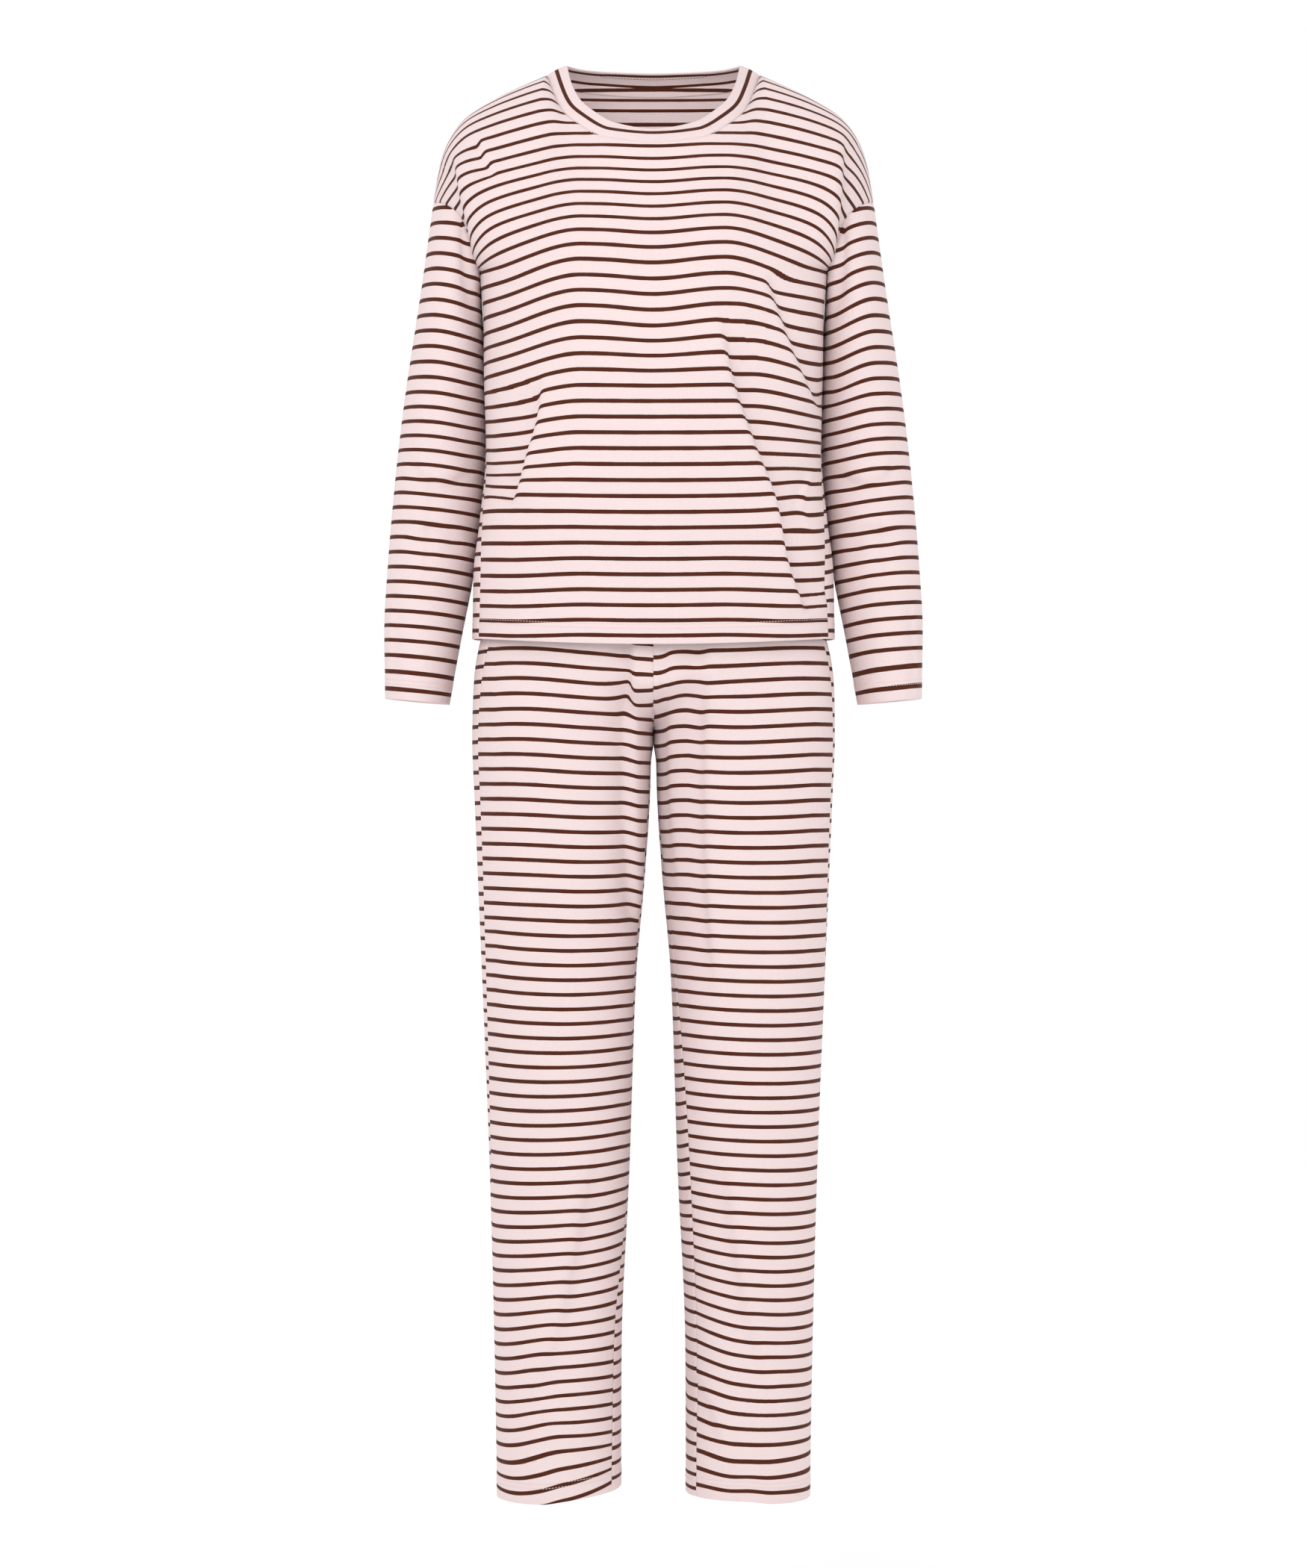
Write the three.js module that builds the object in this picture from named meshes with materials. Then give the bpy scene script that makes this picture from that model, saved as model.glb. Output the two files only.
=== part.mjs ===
// A pyjama set in striped jersey, standing open as it does when it is worn: a long-sleeved top with
// dropped shoulders and a narrow neckband, over straight trousers with an elastic waist.
// Every cloth piece is a wall that follows the set's outer form. Lengths are in millimetres: +X is
// the wearer's left, +Y the back and +Z up. The origin lies between the shoulders, at the height
// where the neckband's seam crosses them.
import * as THREE from 'three';

const { lerp, smoothstep, degToRad, clamp } = THREE.MathUtils;

// Cloth and seams
const JERSEY = 1.6;
const NECKBAND_WALL = 2.2;
const TAPE_WALL = 1.0;
const WAISTBAND_WALL = 2.6;
const SEAM_GAP = 0.3;
const FULLNESS = 0.85;
const VALLEY = 0.25;
const LEAN = 0.65;

// Heights that several pieces share
const HEM = -566;
const ARMPIT = -198;
const WAISTBAND_TOP = -430;
const WAISTBAND_FOOT = -465;
const CROTCH = -672;
const CROTCH_TOP = -608;
const LEG_TOP = -540;
const TROUSER_HEM = -1420;

// How finely each piece is divided
const NECK_COLUMNS = 6;
const SHOULDER_COLUMNS = 6;
const BODY_ROWS = 13;
const YOKE_ROWS = 9;
const YOKE_LAST_ROW = 0.055;
const SLEEVE_ROWS = 14;
const BAND_ROWS = 2;
const TAPE_ROWS = 1;
const HIP_ROWS = 8;
const HIP_PACE = 1.4;
const LEG_ROWS = 17;
const LEG_COLUMNS = 8;

// The top below the armpits. half: half its width; front, back: depths from the line mid;
// dip: how far the centre front hangs below the sides; seam: degrees by which the side seam lies
// in front of the widest line.
const BODY = [
  { z: -566, half: 181.5, front: 113, back: 124, mid: -2, dip: 8, seam: 16 },
  { z: -500, half: 180.5, front: 115, back: 119, mid: -4, dip: 6, seam: 17 },
  { z: -450, half: 174.5, front: 117, back: 113, mid: -6, dip: 4, seam: 12 },
  { z: -375, half: 168.0, front: 118, back: 108, mid: -6, dip: 2, seam: 5 },
  { z: -300, half: 170.0, front: 118, back: 110, mid: -6, dip: 0, seam: 0 },
  { z: -240, half: 170.5, front: 114, back: 113, mid: -4, dip: 0, seam: 0 },
  { z: -198, half: 174.0, front: 109, back: 113, mid: 0, dip: 0, seam: 0 },
];

// The soft fullness of the chest, on each side of the centre front
const CHEST = { apart: 66, height: -268, width: 46, length: 75, depth: 7 };

// Above the armpits the panels arch over to the neckline and the shoulder seam
const YOKE = { neckBend: 42, shoulderBend: 86, armStart: 0.42 };
const NECK_SHARE = NECK_COLUMNS / (NECK_COLUMNS + SHOULDER_COLUMNS);

// The neckband: its seam to the panels and its free edge, from the centre (share 0) to the shoulder
const NECK_FRONT = [
  { share: 0.00, seamX: 0, seamY: -85, seamZ: -77, edgeX: 0, edgeY: -74, edgeZ: -63 },
  { share: 0.30, seamX: 48, seamY: -79, seamZ: -71.5, edgeX: 38, edgeY: -67, edgeZ: -56 },
  { share: 0.50, seamX: 76, seamY: -61, seamZ: -55, edgeX: 61, edgeY: -52, edgeZ: -41 },
  { share: 0.66, seamX: 91, seamY: -43, seamZ: -40, edgeX: 74, edgeY: -36, edgeZ: -27 },
  { share: 0.84, seamX: 101, seamY: -19, seamZ: -17, edgeX: 83, edgeY: -14, edgeZ: -6 },
  { share: 1.00, seamX: 107, seamY: 8, seamZ: 2, edgeX: 87, edgeY: 8, edgeZ: 12 },
];
const NECK_BACK = [
  { share: 0.00, seamX: 0, seamY: 78, seamZ: 1, edgeX: 0, edgeY: 62, edgeZ: 13 },
  { share: 0.50, seamX: 62, seamY: 68, seamZ: 3, edgeX: 50, edgeY: 54, edgeZ: 13.5 },
  { share: 0.80, seamX: 97, seamY: 38, seamZ: 4, edgeX: 78, edgeY: 33, edgeZ: 13.5 },
  { share: 1.00, seamX: 107, seamY: 8, seamZ: 2, edgeX: 87, edgeY: 8, edgeZ: 12 },
];
const NECKBAND_CROWN = 0.8;

// The shoulder seam, from the neckband (share 0) over the dropped shoulder to the armhole
const SHOULDER = [
  { share: 0.00, x: 107, y: 8, z: 2 },
  { share: 0.14, x: 130, y: 8, z: -8 },
  { share: 0.29, x: 157, y: 7, z: -21 },
  { share: 0.51, x: 191, y: 5, z: -44 },
  { share: 0.65, x: 206, y: 3, z: -66 },
  { share: 0.78, x: 214, y: 2, z: -88 },
  { share: 1.00, x: 221, y: 0, z: -129 },
];

// The tape that covers the back neck seam inside
const TAPE_CLEAR = 0.12;

// A sleeve, from the cuff (rise 0) to the armhole (rise 1): its outer and inner line as seen from
// the front, and its depths from the line mid. lift raises its front and back between the two.
const SLEEVE = [
  { rise: 0.00, outX: 269.5, outZ: -625.5, inX: 205.5, inZ: -631.5, mid: 8, front: 42, back: 43, lift: 0 },
  { rise: 0.14, outX: 271, outZ: -556, inX: 193, inZ: -563, mid: 12, front: 45, back: 46, lift: 0 },
  { rise: 0.29, outX: 267.5, outZ: -487, inX: 180.5, inZ: -497, mid: 18, front: 48, back: 49, lift: 0 },
  { rise: 0.47, outX: 260, outZ: -398, inX: 171, inZ: -416, mid: 24, front: 53, back: 54, lift: 0 },
  { rise: 0.65, outX: 249.5, outZ: -312, inX: 168.5, inZ: -340, mid: 24, front: 57, back: 58, lift: 1 },
  { rise: 0.83, outX: 234.5, outZ: -218, inX: 171.5, inZ: -266, mid: 15, front: 60, back: 62, lift: 5 },
  { rise: 1.00, outX: 221, outZ: -129, inX: 174, inZ: -198, mid: 0, front: 60, back: 66, lift: 12 },
];
const LIFT_INWARD = 0.3;
const LIFT_UP = 0.95;
const ARM_PACE = 0.8;

// The trousers above the crotch, and one leg below it. out, in: the leg's outer and inner line.
const HIPS = [
  { z: -672, half: 182, front: 101, back: 111, mid: 0 },
  { z: -640, half: 182, front: 103, back: 116, mid: 0 },
  { z: -610, half: 180.5, front: 103, back: 117, mid: 0 },
  { z: -570, half: 174, front: 101, back: 114, mid: 0 },
  { z: -520, half: 157, front: 97, back: 107, mid: 0 },
  { z: -465, half: 134, front: 92, back: 97, mid: 0 },
  { z: -430, half: 132, front: 90, back: 95, mid: 0 },
];
const LEG = [
  { z: -1420, out: 157, in: 32.5, front: 74, back: 76, mid: 2 },
  { z: -1281, out: 159.5, in: 32, front: 76, back: 79, mid: 2 },
  { z: -1094, out: 164.5, in: 24, front: 81, back: 85, mid: 2 },
  { z: -906, out: 172, in: 17.5, front: 88, back: 92, mid: 3 },
  { z: -800, out: 176.5, in: 8.5, front: 93, back: 98, mid: 3 },
  { z: -718, out: 180, in: 3.3, front: 97, back: 105, mid: 3 },
  { z: -690, out: 181.4, in: 2.6, front: 99, back: 108, mid: 3 },
  { z: -672, out: 182, in: 0, front: 101, back: 111, mid: 3 },
];

// Degrees by which the trousers' seams lie in front of the widest line, on the wearer's two sides
const TROUSER_SEAMS = [
  { z: -1420, sideRight: 0, sideLeft: 0, inRight: 31, inLeft: 32 },
  { z: -1260, sideRight: 0, sideLeft: 0, inRight: 26, inLeft: 33 },
  { z: -1100, sideRight: 12, sideLeft: 0, inRight: 8, inLeft: 33 },
  { z: -900, sideRight: 20, sideLeft: 6, inRight: 10, inLeft: 20 },
  { z: -760, sideRight: 22, sideLeft: 13, inRight: 14, inLeft: 6 },
  { z: -672, sideRight: 22, sideLeft: 13, inRight: 0, inLeft: 0 },
  { z: -430, sideRight: 20, sideLeft: 16, inRight: 0, inLeft: 0 },
];

// The largest folds. Each follows a curve from (x1, z1) past (x2, z2) to (x3, z3) as seen from the
// front. Beside that curve the cloth stands proud by lip on its left hand and lies back by sink on
// its right hand, going from the first point to the last, and both fade over the distance spread.
const TOP_FOLDS = [
  { face: 'front', x1: -200, z1: -80, x2: -190, z2: -150, x3: -174, z3: -270, lip: 4, sink: 7, spread: 20 },
  { face: 'front', x1: 178, z1: -270, x2: 184, z2: -150, x3: 190, z3: -60, lip: 4, sink: 7, spread: 20 },
  { face: 'front', x1: -108, z1: -310, x2: -122, z2: -385, x3: -152, z3: -490, lip: 4, sink: 8, spread: 28 },
  { face: 'front', x1: 152, z1: -545, x2: 118, z2: -400, x3: 66, z3: -240, lip: 4, sink: 9, spread: 30 },
  { face: 'front', x1: 166, z1: -345, x2: 140, z2: -290, x3: 112, z3: -215, lip: 2, sink: 5, spread: 20 },
  { face: 'back', x1: -150, z1: -130, x2: -128, z2: -260, x3: -96, z3: -430, lip: 5, sink: 8, spread: 30 },
  { face: 'back', x1: 92, z1: -470, x2: 124, z2: -280, x3: 152, z3: -120, lip: 5, sink: 7, spread: 28 },
  { face: 'back', x1: 34, z1: -556, x2: 24, z2: -440, x3: 30, z3: -320, lip: 4, sink: 5, spread: 26 },
  { face: 'back', x1: -50, z1: -350, x2: -62, z2: -450, x3: -60, z3: -556, lip: 4, sink: 5, spread: 30 },
];
const SLEEVE_FOLDS = [
  { face: 'front', x1: 178, z1: -392, x2: 214, z2: -410, x3: 246, z3: -385, lip: 3, sink: 5, spread: 18 },
  { face: 'front', x1: 182, z1: -470, x2: 214, z2: -452, x3: 256, z3: -466, lip: 3, sink: 4, spread: 18 },
  { face: 'back', x1: 180, z1: -330, x2: 210, z2: -352, x3: 248, z3: -335, lip: 4, sink: 4, spread: 22 },
  { face: 'back', x1: 190, z1: -520, x2: 226, z2: -500, x3: 262, z3: -512, lip: 3, sink: 4, spread: 20 },
];
const TROUSER_FOLDS = [
  { face: 'front', x1: -22, z1: -560, x2: -19, z2: -720, x3: -15, z3: -850, lip: 3, sink: 7, spread: 20 },
  { face: 'front', x1: 52, z1: -560, x2: 50, z2: -760, x3: 60, z3: -930, lip: 3, sink: 4, spread: 26 },
  { face: 'front', x1: -140, z1: -1330, x2: -95, z2: -1250, x3: -58, z3: -1060, lip: 3, sink: 5, spread: 30 },
  { face: 'front', x1: 66, z1: -1060, x2: 92, z2: -1230, x3: 136, z3: -1350, lip: 3, sink: 5, spread: 30 },
  { face: 'back', x1: -60, z1: -640, x2: -96, z2: -800, x3: -100, z3: -1000, lip: 4, sink: 6, spread: 32 },
  { face: 'back', x1: 104, z1: -1010, x2: 98, z2: -810, x3: 58, z3: -640, lip: 4, sink: 6, spread: 32 },
  { face: 'back', x1: -120, z1: -1120, x2: -84, z2: -1200, x3: -76, z3: -1330, lip: 3, sink: 4, spread: 30 },
  { face: 'back', x1: 76, z1: -1340, x2: 86, z2: -1210, x3: 122, z3: -1130, lip: 3, sink: 4, spread: 30 },
];
const FOLD_STEPS = 12;
const FOLD_EDGE = 9;
const FOLD_END = 0.22;

// Reads a table at any value of its key column, with a smooth curve through every other column
// that never swings past the rows on either side.
function tabled(rows, key) {
  const columns = Object.keys(rows[0]).filter((name) => name !== key);
  const rate = (i, name) => (rows[i + 1][name] - rows[i][name]) / (rows[i + 1][key] - rows[i][key]);
  const slope = (i, name) => {
    if (i === 0) return rate(0, name);
    if (i === rows.length - 1) return rate(i - 1, name);
    const [before, after] = [rate(i - 1, name), rate(i, name)];
    return before * after <= 0 ? 0 : 2 * before * after / (before + after);
  };
  return (at) => {
    let i = 0;
    while (i < rows.length - 2 && at > rows[i + 1][key]) i += 1;
    const span = rows[i + 1][key] - rows[i][key];
    const t = clamp((at - rows[i][key]) / span, 0, 1);
    const ease = 3 * t ** 2 - 2 * t ** 3;
    const value = {};
    for (const name of columns) {
      value[name] = lerp(rows[i][name], rows[i + 1][name], ease)
        + span * (t * (1 - t) ** 2 * slope(i, name) - t ** 2 * (1 - t) * slope(i + 1, name));
    }
    return value;
  };
}

// A neckline's table, carried on past the centre so that its curve is level there
function acrossCentre(rows) {
  const next = rows[1];
  return [{ ...next, share: -next.share, seamX: -next.seamX, edgeX: -next.edgeX }, ...rows];
}

const body = tabled(BODY, 'z');
const neckFront = tabled(acrossCentre(NECK_FRONT), 'share');
const neckBack = tabled(acrossCentre(NECK_BACK), 'share');
const shoulder = tabled(SHOULDER, 'share');
const sleeve = tabled(SLEEVE, 'rise');
const hips = tabled(HIPS, 'z');
const leg = tabled(LEG, 'z');
const trouserSeams = tabled(TROUSER_SEAMS, 'z');

// A point of a level section: turn runs from 0 at the front by 90 at the wearer's left to 180.
function onSection(half, row, turn) {
  const angle = degToRad(turn);
  const depth = Math.cos(angle) > 0 ? -row.front : row.back;
  return [half * Math.sin(angle), row.mid + depth * Math.abs(Math.cos(angle)) ** FULLNESS];
}

// The top below the armpits, on the wearer's left: reach runs from 0 at the centre to 1 at the seam.
function bodyPoint(z, reach, face) {
  const row = body(z);
  const turn = face === 'front' ? reach * (90 - row.seam) : 180 - reach * (90 + row.seam);
  const [x, y] = onSection(row.half, row, turn);
  const facing = Math.max(Math.cos(degToRad(turn)), 0);
  const chest = CHEST.depth * facing * Math.exp(
    -(((x - CHEST.apart) / CHEST.width) ** 2) - ((z - CHEST.height) / CHEST.length) ** 2,
  );
  return new THREE.Vector3(x, y - chest, z - row.dip * facing ** 2);
}

// A sleeve's point: turn runs from 0 at its inner line over the front to 180 at its outer line.
function sleevePoint(rise, turn) {
  const row = sleeve(rise);
  const angle = degToRad(turn);
  const out = (1 - Math.cos(angle)) / 2;
  const depth = turn <= 180 ? -row.front : -row.back;
  const lift = row.lift * Math.sin(angle) ** 2;
  return new THREE.Vector3(
    lerp(row.inX, row.outX, out) - LIFT_INWARD * lift,
    row.mid + depth * Math.sin(angle),
    lerp(row.inZ, row.outZ, out) + LIFT_UP * lift,
  );
}

// How far round the armhole a row of the yoke meets it
const armTurn = (rise) => 180 * rise ** ARM_PACE;

// The armhole seam, from the armpit (rise 0) over the front or the back to the shoulder (rise 1)
function armholePoint(rise, face) {
  return sleevePoint(1, face === 'front' ? armTurn(rise) : 360 - armTurn(rise));
}

function neckPoint(share, face, line) {
  const row = face === 'front' ? neckFront(share) : neckBack(share);
  return new THREE.Vector3(row[`${line}X`], row[`${line}Y`], row[`${line}Z`]);
}

// A curve that leaves foot upwards and turns by bend degrees on its way to head.
function arch(foot, head, bend, rise) {
  const full = degToRad(bend);
  const back = (1 - Math.cos(full * rise)) / (1 - Math.cos(full));
  const up = Math.sin(full * rise) / Math.sin(full);
  return new THREE.Vector3(lerp(foot.x, head.x, rise), lerp(foot.y, head.y, back), lerp(foot.z, head.z, up));
}

// The top above the armpits, on the wearer's left
function yokePoint(rise, reach, face) {
  const toShoulder = (reach - NECK_SHARE) / (1 - NECK_SHARE);
  const seam = reach <= NECK_SHARE ? neckPoint(reach / NECK_SHARE, face, 'seam') : shoulder(toShoulder);
  const bend = lerp(YOKE.neckBend, YOKE.shoulderBend, smoothstep(reach, 0, NECK_SHARE));
  const point = arch(bodyPoint(ARMPIT, reach, face), seam, bend, rise);
  const edge = arch(bodyPoint(ARMPIT, 1, face), shoulder(1), YOKE.shoulderBend, rise);
  const pull = smoothstep(reach, YOKE.armStart, 1);
  return point.addScaledVector(armholePoint(rise, face).sub(edge), pull);
}

// The trousers, on the wearer's left: share runs from 0 at the centre seam or inseam to 1 at the
// side seam. Between the top of the crotch curve and the crotch the hip turns into the leg.
function trouserPoint(z, share, face, side) {
  const hip = hips(z);
  const limb = leg(z);
  const seams = trouserSeams(z);
  const sideSeam = seams[`side${side}`];
  const inseam = seams[`in${side}`];
  const hipTurn = face === 'front' ? share * (90 - sideSeam) : 180 - share * (90 + sideSeam);
  const legTurn = lerp(face === 'front' ? inseam - 90 : inseam + 270, 90 - sideSeam, share);
  const [hipX, hipY] = onSection(hip.half, hip, hipTurn);
  const [legX, legY] = onSection((limb.out - limb.in) / 2, limb, legTurn);
  const split = 1 - smoothstep(z, CROTCH, lerp(CROTCH_TOP, LEG_TOP, share));
  return new THREE.Vector3(
    lerp(hipX, (limb.out + limb.in) / 2 + legX, split),
    lerp(hipY, legY, split),
    z,
  );
}

// Signed height of the folds at a point: proud beside one hand of each curve, sunk beside the other.
function foldHeight(point, folds) {
  let height = 0;
  for (const fold of folds) {
    const curve = new THREE.QuadraticBezierCurve(
      new THREE.Vector2(fold.x1, fold.z1),
      new THREE.Vector2(fold.x2, fold.z2),
      new THREE.Vector2(fold.x3, fold.z3),
    );
    const place = new THREE.Vector2(point.x, point.z);
    let nearest = { away: Infinity };
    for (let i = 0; i <= FOLD_STEPS; i += 1) {
      const on = curve.getPoint(i / FOLD_STEPS);
      const away = on.distanceTo(place);
      if (away < nearest.away) nearest = { away, on, along: i / FOLD_STEPS };
    }
    const heading = curve.getTangent(nearest.along);
    const offset = place.sub(nearest.on);
    const left = heading.x * offset.y - heading.y * offset.x;
    const ends = smoothstep(nearest.along, 0, FOLD_END) * smoothstep(1 - nearest.along, 0, FOLD_END);
    const facing = smoothstep(fold.face === 'front' ? -point.y : point.y, 0, 2 * fold.spread);
    const fade = Math.exp(-((nearest.away / fold.spread) ** 2));
    const side = Math.tanh(left / FOLD_EDGE);
    height += ends * facing * fade * (side > 0 ? fold.lip : fold.sink) * side;
  }
  return height;
}

// A grid of points for each piece. Its columns run anticlockwise seen from above and its rows run
// upwards, so that its face looks outwards.
function gridOf(rows, columns, pointAt) {
  const grid = [];
  for (let row = 0; row <= rows; row += 1) {
    const line = [];
    for (let column = 0; column <= columns; column += 1) line.push(pointAt(row, column));
    grid.push(line);
  }
  return grid;
}

const mirrored = (grid) => grid.map((line) => line.map((p) => new THREE.Vector3(-p.x, p.y, p.z)).reverse());

const HALF_COLUMNS = NECK_COLUMNS + SHOULDER_COLUMNS;

// The yoke's last row is a narrow one, along the neckline and the shoulder seam.
function yokeRise(row) {
  return row === YOKE_ROWS ? 1 : (1 - YOKE_LAST_ROW) * row / (YOKE_ROWS - 1);
}

function topPoint(row, reach, face) {
  if (row <= BODY_ROWS) return bodyPoint(lerp(HEM, ARMPIT, row / BODY_ROWS), reach, face);
  return yokePoint(yokeRise(row - BODY_ROWS), reach, face);
}

function topPanel(face) {
  const across = face === 'front' ? 1 : -1;
  return gridOf(BODY_ROWS + YOKE_ROWS, 2 * HALF_COLUMNS, (row, column) => {
    const share = across * (column / HALF_COLUMNS - 1);
    const point = topPoint(row, Math.abs(share), face);
    point.x *= Math.sign(share);
    return point;
  });
}

function sleevePiece() {
  return gridOf(SLEEVE_ROWS, 2 * YOKE_ROWS - 1, (row, column) => {
    const half = armTurn(yokeRise(Math.min(column, 2 * YOKE_ROWS - column)));
    return sleevePoint(row / SLEEVE_ROWS, column <= YOKE_ROWS ? half : 360 - half);
  });
}

// The neckband goes once round: the front's columns from right to left, then the back's.
function neckbandPiece() {
  return gridOf(BAND_ROWS, 4 * NECK_COLUMNS - 1, (row, column) => {
    const face = column < 2 * NECK_COLUMNS ? 'front' : 'back';
    const share = column / NECK_COLUMNS - (face === 'front' ? 1 : 3);
    const seam = neckPoint(Math.abs(share), face, 'seam');
    const edge = neckPoint(Math.abs(share), face, 'edge');
    const point = seam.lerp(edge, row / BAND_ROWS);
    point.z += NECKBAND_CROWN * Math.sin(Math.PI * row / BAND_ROWS);
    point.x *= face === 'front' ? Math.sign(share) : -Math.sign(share);
    return point;
  });
}

function trouserRows(row) {
  if (row <= LEG_ROWS) return lerp(TROUSER_HEM, CROTCH, row / LEG_ROWS);
  return lerp(CROTCH, WAISTBAND_FOOT, ((row - LEG_ROWS) / HIP_ROWS) ** HIP_PACE);
}

function trouserPanel(face, side) {
  const grid = gridOf(LEG_ROWS + HIP_ROWS, LEG_COLUMNS, (row, column) => {
    const share = column / LEG_COLUMNS;
    return trouserPoint(trouserRows(row), face === 'front' ? share : 1 - share, face, side);
  });
  return side === 'Left' ? grid : mirrored(grid);
}

// The waistband continues the top row of the four trouser panels.
function waistbandPiece(panels) {
  return gridOf(BAND_ROWS, 4 * LEG_COLUMNS - 1, (row, column) => {
    const z = lerp(WAISTBAND_FOOT, WAISTBAND_TOP, row / BAND_ROWS);
    const { face, side } = panels[Math.floor(column / LEG_COLUMNS)];
    const within = (column % LEG_COLUMNS) / LEG_COLUMNS;
    const outwards = (face === 'front') === (side === 'Left');
    const point = trouserPoint(z, outwards ? within : 1 - within, face, side);
    point.x *= side === 'Left' ? 1 : -1;
    return point;
  });
}

// Each piece before it gets its wall
const WAIST_ORDER = [
  { face: 'front', side: 'Left' }, { face: 'back', side: 'Left' },
  { face: 'back', side: 'Right' }, { face: 'front', side: 'Right' },
];
const ELASTIC = { wall: WAISTBAND_WALL, folds: TROUSER_FOLDS, closed: true };
const topFolds = [...TOP_FOLDS];
for (const fold of SLEEVE_FOLDS) {
  topFolds.push(fold, { ...fold, x1: -fold.x3, z1: fold.z3, x2: -fold.x2, x3: -fold.x1, z3: fold.z1 });
}
const pieces = [
  { name: 'top_front', grid: topPanel('front'), wall: JERSEY, folds: topFolds },
  { name: 'top_back', grid: topPanel('back'), wall: JERSEY, folds: topFolds },
  { name: 'sleeve_left', grid: sleevePiece(), wall: JERSEY, folds: topFolds, closed: true },
  { name: 'sleeve_right', grid: mirrored(sleevePiece()), wall: JERSEY, folds: topFolds, closed: true },
  { name: 'neckband', grid: neckbandPiece(), wall: NECKBAND_WALL, folds: [], closed: true },
  { name: 'trouser_front_left', grid: trouserPanel('front', 'Left'), wall: JERSEY, folds: TROUSER_FOLDS },
  { name: 'trouser_back_left', grid: trouserPanel('back', 'Left'), wall: JERSEY, folds: TROUSER_FOLDS },
  { name: 'trouser_back_right', grid: trouserPanel('back', 'Right'), wall: JERSEY, folds: TROUSER_FOLDS },
  { name: 'trouser_front_right', grid: trouserPanel('front', 'Right'), wall: JERSEY, folds: TROUSER_FOLDS },
  { name: 'waistband', grid: waistbandPiece(WAIST_ORDER), ...ELASTIC },
];

// Normals of a grid, from the steps to each point's neighbours
function normalsOf({ grid, closed }) {
  const rows = grid.length - 1;
  const columns = grid[0].length - 1;
  const wrapped = (column) => (column + columns + 1) % (columns + 1);
  const at = (line, column) => line[closed ? wrapped(column) : clamp(column, 0, columns)];
  return grid.map((line, row) => line.map((point, column) => {
    const across = at(line, column + 1).clone().sub(at(line, column - 1));
    const up = grid[Math.min(row + 1, rows)][column].clone().sub(grid[Math.max(row - 1, 0)][column]);
    return across.cross(up).normalize();
  }));
}

// The rims of a grid as closed loops of [row, column], with the cloth on the left of each loop
function rimLoops({ grid, closed }) {
  const last = grid.length - 1;
  const end = grid[0].length - 1;
  const across = (row) => Array.from({ length: end + 1 }, (_, column) => [row, column]);
  if (closed) return [across(0), across(last).reverse()];
  const up = (column) => Array.from({ length: last + 1 }, (_, row) => [row, column]);
  const sides = [across(0), up(end), across(last).reverse(), up(0).reverse()];
  return [sides.flatMap((side) => side.slice(1))];
}

// Pieces that meet at a seam share its normal, so that their rims lie on one plane, unless their
// own normals differ by more than the cosine valley, as under the arm and at the crotch: there each
// keeps its own, and its face lies back by recess. stretch deepens the inner face where a shared
// normal leans, so that the wall keeps its thickness.
function shareNormals(valley) {
  const rims = [];
  for (const piece of pieces) {
    piece.normals = normalsOf(piece);
    piece.stretch = piece.grid.map((line) => line.map(() => 1));
    piece.recess = piece.grid.map((line) => line.map(() => 0));
    for (const loop of rimLoops(piece)) {
      for (const [row, column] of loop) {
        const own = piece.normals[row][column].clone();
        rims.push({ piece, row, column, point: piece.grid[row][column], own });
      }
    }
  }
  for (const { piece, row, column, point, own } of rims) {
    const shared = new THREE.Vector3();
    for (const other of rims) {
      if (other.point.distanceTo(point) > SEAM_GAP) continue;
      if (other.own.dot(own) > valley) shared.add(other.own);
      else piece.recess[row][column] = SEAM_GAP / 2;
    }
    piece.normals[row][column].copy(shared.normalize());
    piece.stretch[row][column] = 1 / Math.max(shared.dot(own), LEAN);
  }
}

function fold() {
  for (const piece of pieces) {
    const heights = piece.grid.map((line) => line.map((point) => foldHeight(point, piece.folds)));
    piece.grid.forEach((line, row) => line.forEach((point, column) => {
      point.addScaledVector(piece.normals[row][column], heights[row][column]);
    }));
  }
}

// Each rim point draws back from its seam by half the gap, mitred where the rim turns a corner.
function drawBack(piece) {
  const shifts = piece.grid.map((line) => line.map(() => new THREE.Vector3()));
  const at = ([row, column]) => piece.grid[row][column];
  for (const loop of rimLoops(piece)) {
    loop.forEach(([row, column], i) => {
      const point = piece.grid[row][column];
      const normal = piece.normals[row][column];
      const before = point.clone().sub(at(loop[(i + loop.length - 1) % loop.length]));
      const after = at(loop[(i + 1) % loop.length]).clone().sub(point);
      const [first, second] = [before, after].map((step) => normal.clone().cross(step).normalize());
      const mitre = SEAM_GAP / 2 / (1 + first.dot(second));
      shifts[row][column].add(first).add(second).multiplyScalar(mitre);
    });
  }
  return shifts;
}

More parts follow.
